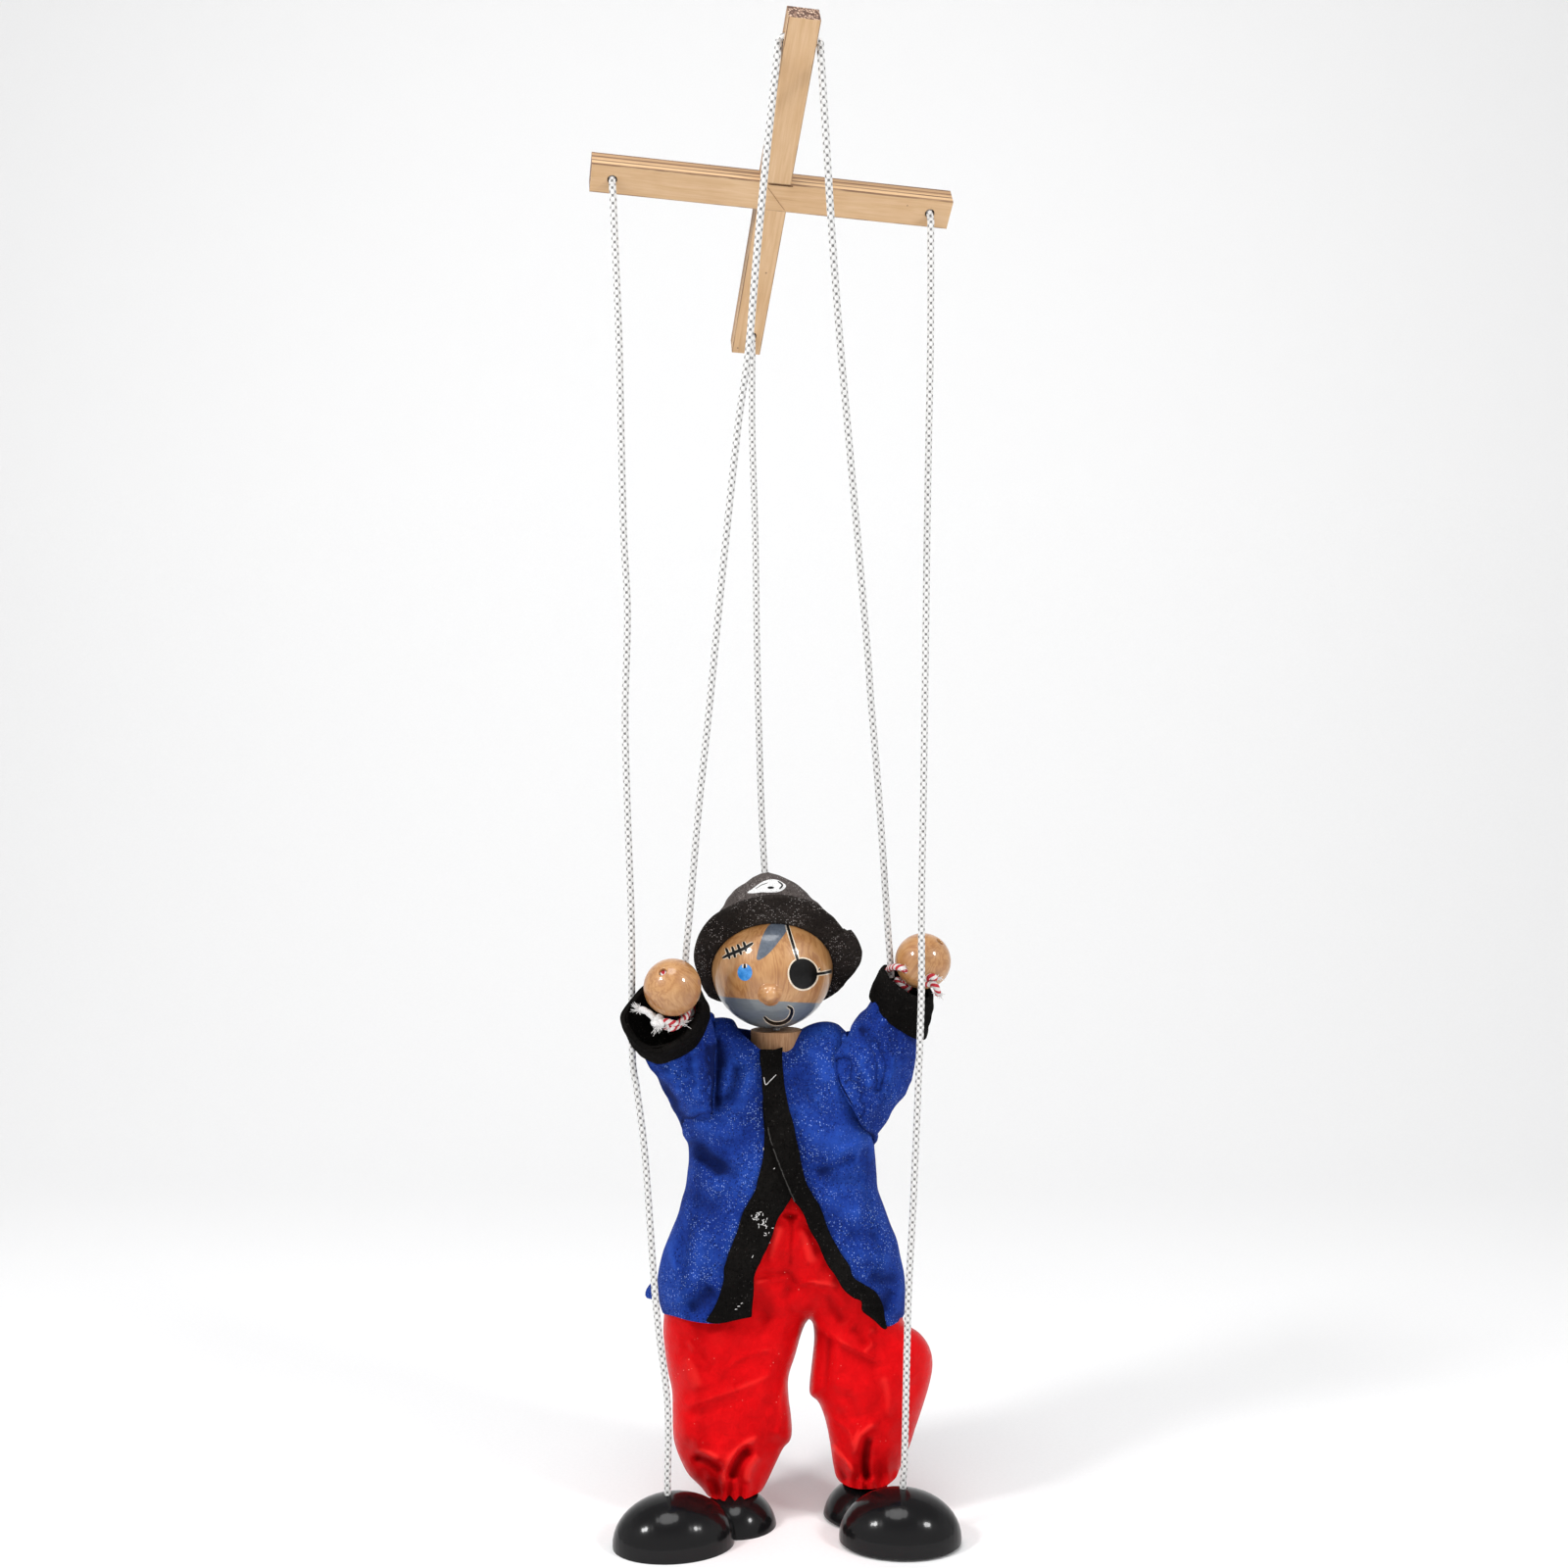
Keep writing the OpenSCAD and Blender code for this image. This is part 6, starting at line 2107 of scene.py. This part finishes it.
def pants_depth(p, front):
    d = np.min([near(p, q)[0] for q in SEWN], axis=0)
    right = p[:, 0] > 826
    y = np.interp(p[:, 1], AXIS_Y[:, 0], AXIS_Y[:, 1])
    y = y + np.where(right, 3.0, 0.0) * np.clip((p[:, 1] - 1350) / 160, 0, 1)
    t = np.interp(p[:, 1], PANTS_T[:, 0], PANTS_T[:, 1])
    keep = np.clip(d / 12, 0, 1)
    low = np.clip((p[:, 1] - np.where(right, 1478, 1490)) / 34, 0, 1)
    gather = 1.0 * np.sin(p[:, 0] / 2.05 + 0.8 * np.sin(p[:, 0] / 7.0)) * low**1.5
    top = np.clip((1262 - p[:, 1]) / 30, 0, 1)
    gather = gather + 0.35 * np.sin(p[:, 0] / 2.3) * top
    if front:
        h = 1.4 * relief(p, SATIN_FOLDS) + 0.7 * waves(p, 54, 61) + 0.22 * waves(p, 19, 62)
        f = y - t * ease(d, 38) - (h + gather) * keep
        return f + np.clip((1350 - p[:, 1]) / 10, 0, 1) * (np.maximum(f, front_y(p) + 1.7) - f)
    h = 0.8 * waves(p, 48, 63) + 0.35 * waves(p, 20, 64)
    b = y + t * 0.92 * ease(d, 38) + (h + gather) * keep
    return b + np.clip((1350 - p[:, 1]) / 10, 0, 1) * (np.minimum(b, np.maximum(back_y(p) - 2.2, 37.2)) - b)


# extra painted shade and highlight for the satin: soft swells and the gathers at the ankles
def satin_fold_shade(p):
    low = np.clip((p[:, 1] - np.where(p[:, 0] > 826, 1478, 1490)) / 34, 0, 1)
    gather = 1.0 * np.sin(p[:, 0] / 2.05 + 0.8 * np.sin(p[:, 0] / 7.0)) * low**1.5
    return 0.45 * waves(p, 54, 61) + 0.8 * gather


def pants():
    outline = joined(WAIST_L, LEG_L_OUT, HEM_LEG_L, LEG_L_IN, LEG_R_IN, HEM_LEG_R, LEG_R_OUT, WAIST_R,
                     [(880, 1206), (850, 1203), (800, 1202), (750, 1203), (726, 1206)])[:-1]
    v, f = fill(outline, 2.5)
    fy, by = pants_depth(v, True), pants_depth(v, False)
    pf, pb = at(v[:, 0], v[:, 1], fy), at(v[:, 0], v[:, 1], by)
    # the side seams belong to both sheets; hems and waist stay open
    n = len(v)
    seam = np.abs(fy - by) < 0.05
    index = np.where(seam, np.arange(n), np.arange(n) + n)
    p = np.vstack([pf, pb])
    ff = facing(pf, f, (0, -1, 0))
    fb = [[int(index[i]) for i in t] for t in facing(pb, f, (0, 1, 0))]
    fb = [t for t in fb if len(set(t)) == 3]
    faces = ff + fb
    px = np.concatenate([v[:, 0], v[:, 0]])
    mid = [sum(px[i] for i in t) / 3 for t in faces]
    z = [sum(p[i][2] for i in t) / 3 for t in faces]
    groups = {k: [] for k in ("seat", "upper_left", "upper_right", "lower_left", "lower_right")}
    for t, m, h in zip(faces, mid, z):
        side = "left" if m < 826 else "right"
        if h > -356.5:
            groups["seat"].append(t)
        if -369.5 <= h <= -356.5:
            groups["upper_" + side].append(t)
        if h < -369.5:
            groups["lower_" + side].append(t)
    out = {}
    for k, fs in groups.items():
        used = sorted({i for t in fs for i in t})
        new = {i: j for j, i in enumerate(used)}
        out[k] = thicken(make("trousers_" + k, p[used], [[new[i] for i in t] for t in fs], SATIN), 0.45, round_=False)
        out[k].data.set_sharp_from_angle(angle=math.radians(60))
        # the folds are kept only for the satin's painted shade and highlight
        crease(out[k], SATIN_FOLDS, 1.8, satin_fold_shade, move=False)
    return out


trousers = pants()
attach(trousers["seat"], "torso")
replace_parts(trousers["seat"], "pants_seat")
for side, x, y_knee in (("left", -14, 33.6), ("right", 28, 35.9)):
    up, low = trousers["upper_" + side], trousers["lower_" + side]
    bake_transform(up)
    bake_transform(low)
    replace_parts(up, "pants_thigh_" + side)
    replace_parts(low, "pants_shin_" + side)
declare(0.160, 0.040, area=0.5 * area_of(trousers["seat"]))
for k in ("upper_left", "upper_right", "lower_left", "lower_right"):
    o = trousers[k]
    declare(0.090, 0.013 if "upper" in k else 0.050, area=0.5 * area_of(o))

# ---------------------------------------------------------------- lint


def lint_on(piece, name, specks, size):
    """Tufts of white lint that stick to a piece of the clothing."""
    tree = bvh(piece)
    rng = np.random.default_rng(7)
    out = []
    for i, (px, py) in enumerate(specks):
        c = cast(tree, np.array([[px, py]], float), 0.12)[0]
        if not np.isfinite(c).all():
            continue
        a = rng.uniform(0, math.pi)
        d = np.array([math.cos(a), 0, math.sin(a)])
        ln = size * rng.uniform(0.5, 1.4)
        side = np.array([-d[2], 0, d[0]]) * rng.uniform(-0.5, 0.5) * ln
        line, _ = smooth_line([c - d * ln, c + side + [0, -0.10, 0], c + d * ln], 0.12)
        out.append(tube(name + str(i), line, lambda s, t, e=ln: 0.10 + 0.05 * np.sin(5 * s + 3 * t), 6, LINT))
    return out


def gather(pieces, name, body, mat=LINT):
    """One object out of small pieces."""
    pts, faces, k = [], [], 0
    for o in pieces:
        me = o.data
        p = np.empty(len(me.vertices) * 3, np.float32)
        me.vertices.foreach_get("co", p)
        pts.append(p.reshape(-1, 3).astype(float) * 1000)
        faces += [[k + i for i in f.vertices] for f in me.polygons]
        k += len(me.vertices)
        bpy.data.objects.remove(o)
    o = make(name, np.vstack(pts), faces, mat)
    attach(o, body)
    return o


rng = np.random.default_rng(11)
on_left = [(780, 1100), (783, 1104), (786, 1099), (779, 1106)]
t = rng.uniform(0, 1, 34)
on_left += [(771 + 13 * k + rng.normal(0, 3), 1240 + 24 * k * k + rng.normal(0, 3)) for k in t]
on_left += [(754, 1333), (757, 1330), (751, 1336), (772, 1172), (790, 1192), (768, 1282)]
gather(lint_on(trim_left, "lint_left_", on_left, 0.34), "jacket_lint_left", "torso")
thread = [(779.5, 1099), (781.5, 1106.5), (786, 1102.5), (792, 1096.5)]
tree = bvh(trim_right)
line, _ = smooth_line([c + [0, -0.15, 0] for c in cast(tree, np.array(thread, float), 0.15)], 0.12)
gather([tube("lint_thread", line, 0.13, 6, LINT)], "jacket_lint_thread", "torso")
# the front edges lap, and the upper one's edge gets a painted highlight, a pale line
lap = [(783.6, 1150), (786, 1162), (791, 1177), (797, 1193), (803.5, 1209), (811, 1226)]
line, _ = smooth_line([c + [0, -0.02, 0] for c in cast(tree, np.array(lap, float), 0.02)], 0.3)
LAP_EDGE_HIGHLIGHT = paint("felt_edge_highlight", (0.022, 0.021, 0.020), (0.075, 0.072, 0.068), rough=0.9, coat=0.0, grain=1.6, spec=0.05)
gather([tube("lap_line", line, lambda s, t: 0.19 + 0.05 * np.sin(2.1 * s + t), 8, LAP_EDGE_HIGHLIGHT)], "jacket_lap_edge", "torso", LAP_EDGE_HIGHLIGHT)

# the half-lap joint shows its glue lines
tree = bvh(bpy.data.objects["cross_bar"])
GLUE = paint("lap_glue_line", (0.050, 0.024, 0.011), (0.150, 0.075, 0.034), rough=0.8, coat=0.0, grain=2.4, spec=0.2)
SCORED = paint("lap_scored_line", (0.30, 0.165, 0.075), (0.46, 0.275, 0.140), rough=0.7, coat=0.0, grain=2.4, spec=0.2)
for name, line, width, mat in (
    ("lap_line_upper", [(783.8, 187.7), (792, 188.4), (801, 189.3), (809.4, 190.2)], 1.7, GLUE),
    ("lap_line_lower", [(771.2, 214.3), (780, 215.2), (790, 216.2), (801.0, 217.2)], 1.3, GLUE),
    ("lap_line_scored", [(783.0, 191.0), (788.5, 198), (794.5, 206.5), (800.8, 214.6)], 1.0, SCORED),
):
    decal(name, stroke(line, width, 0.5), tree, 0.04, mat, "control", 0.9)
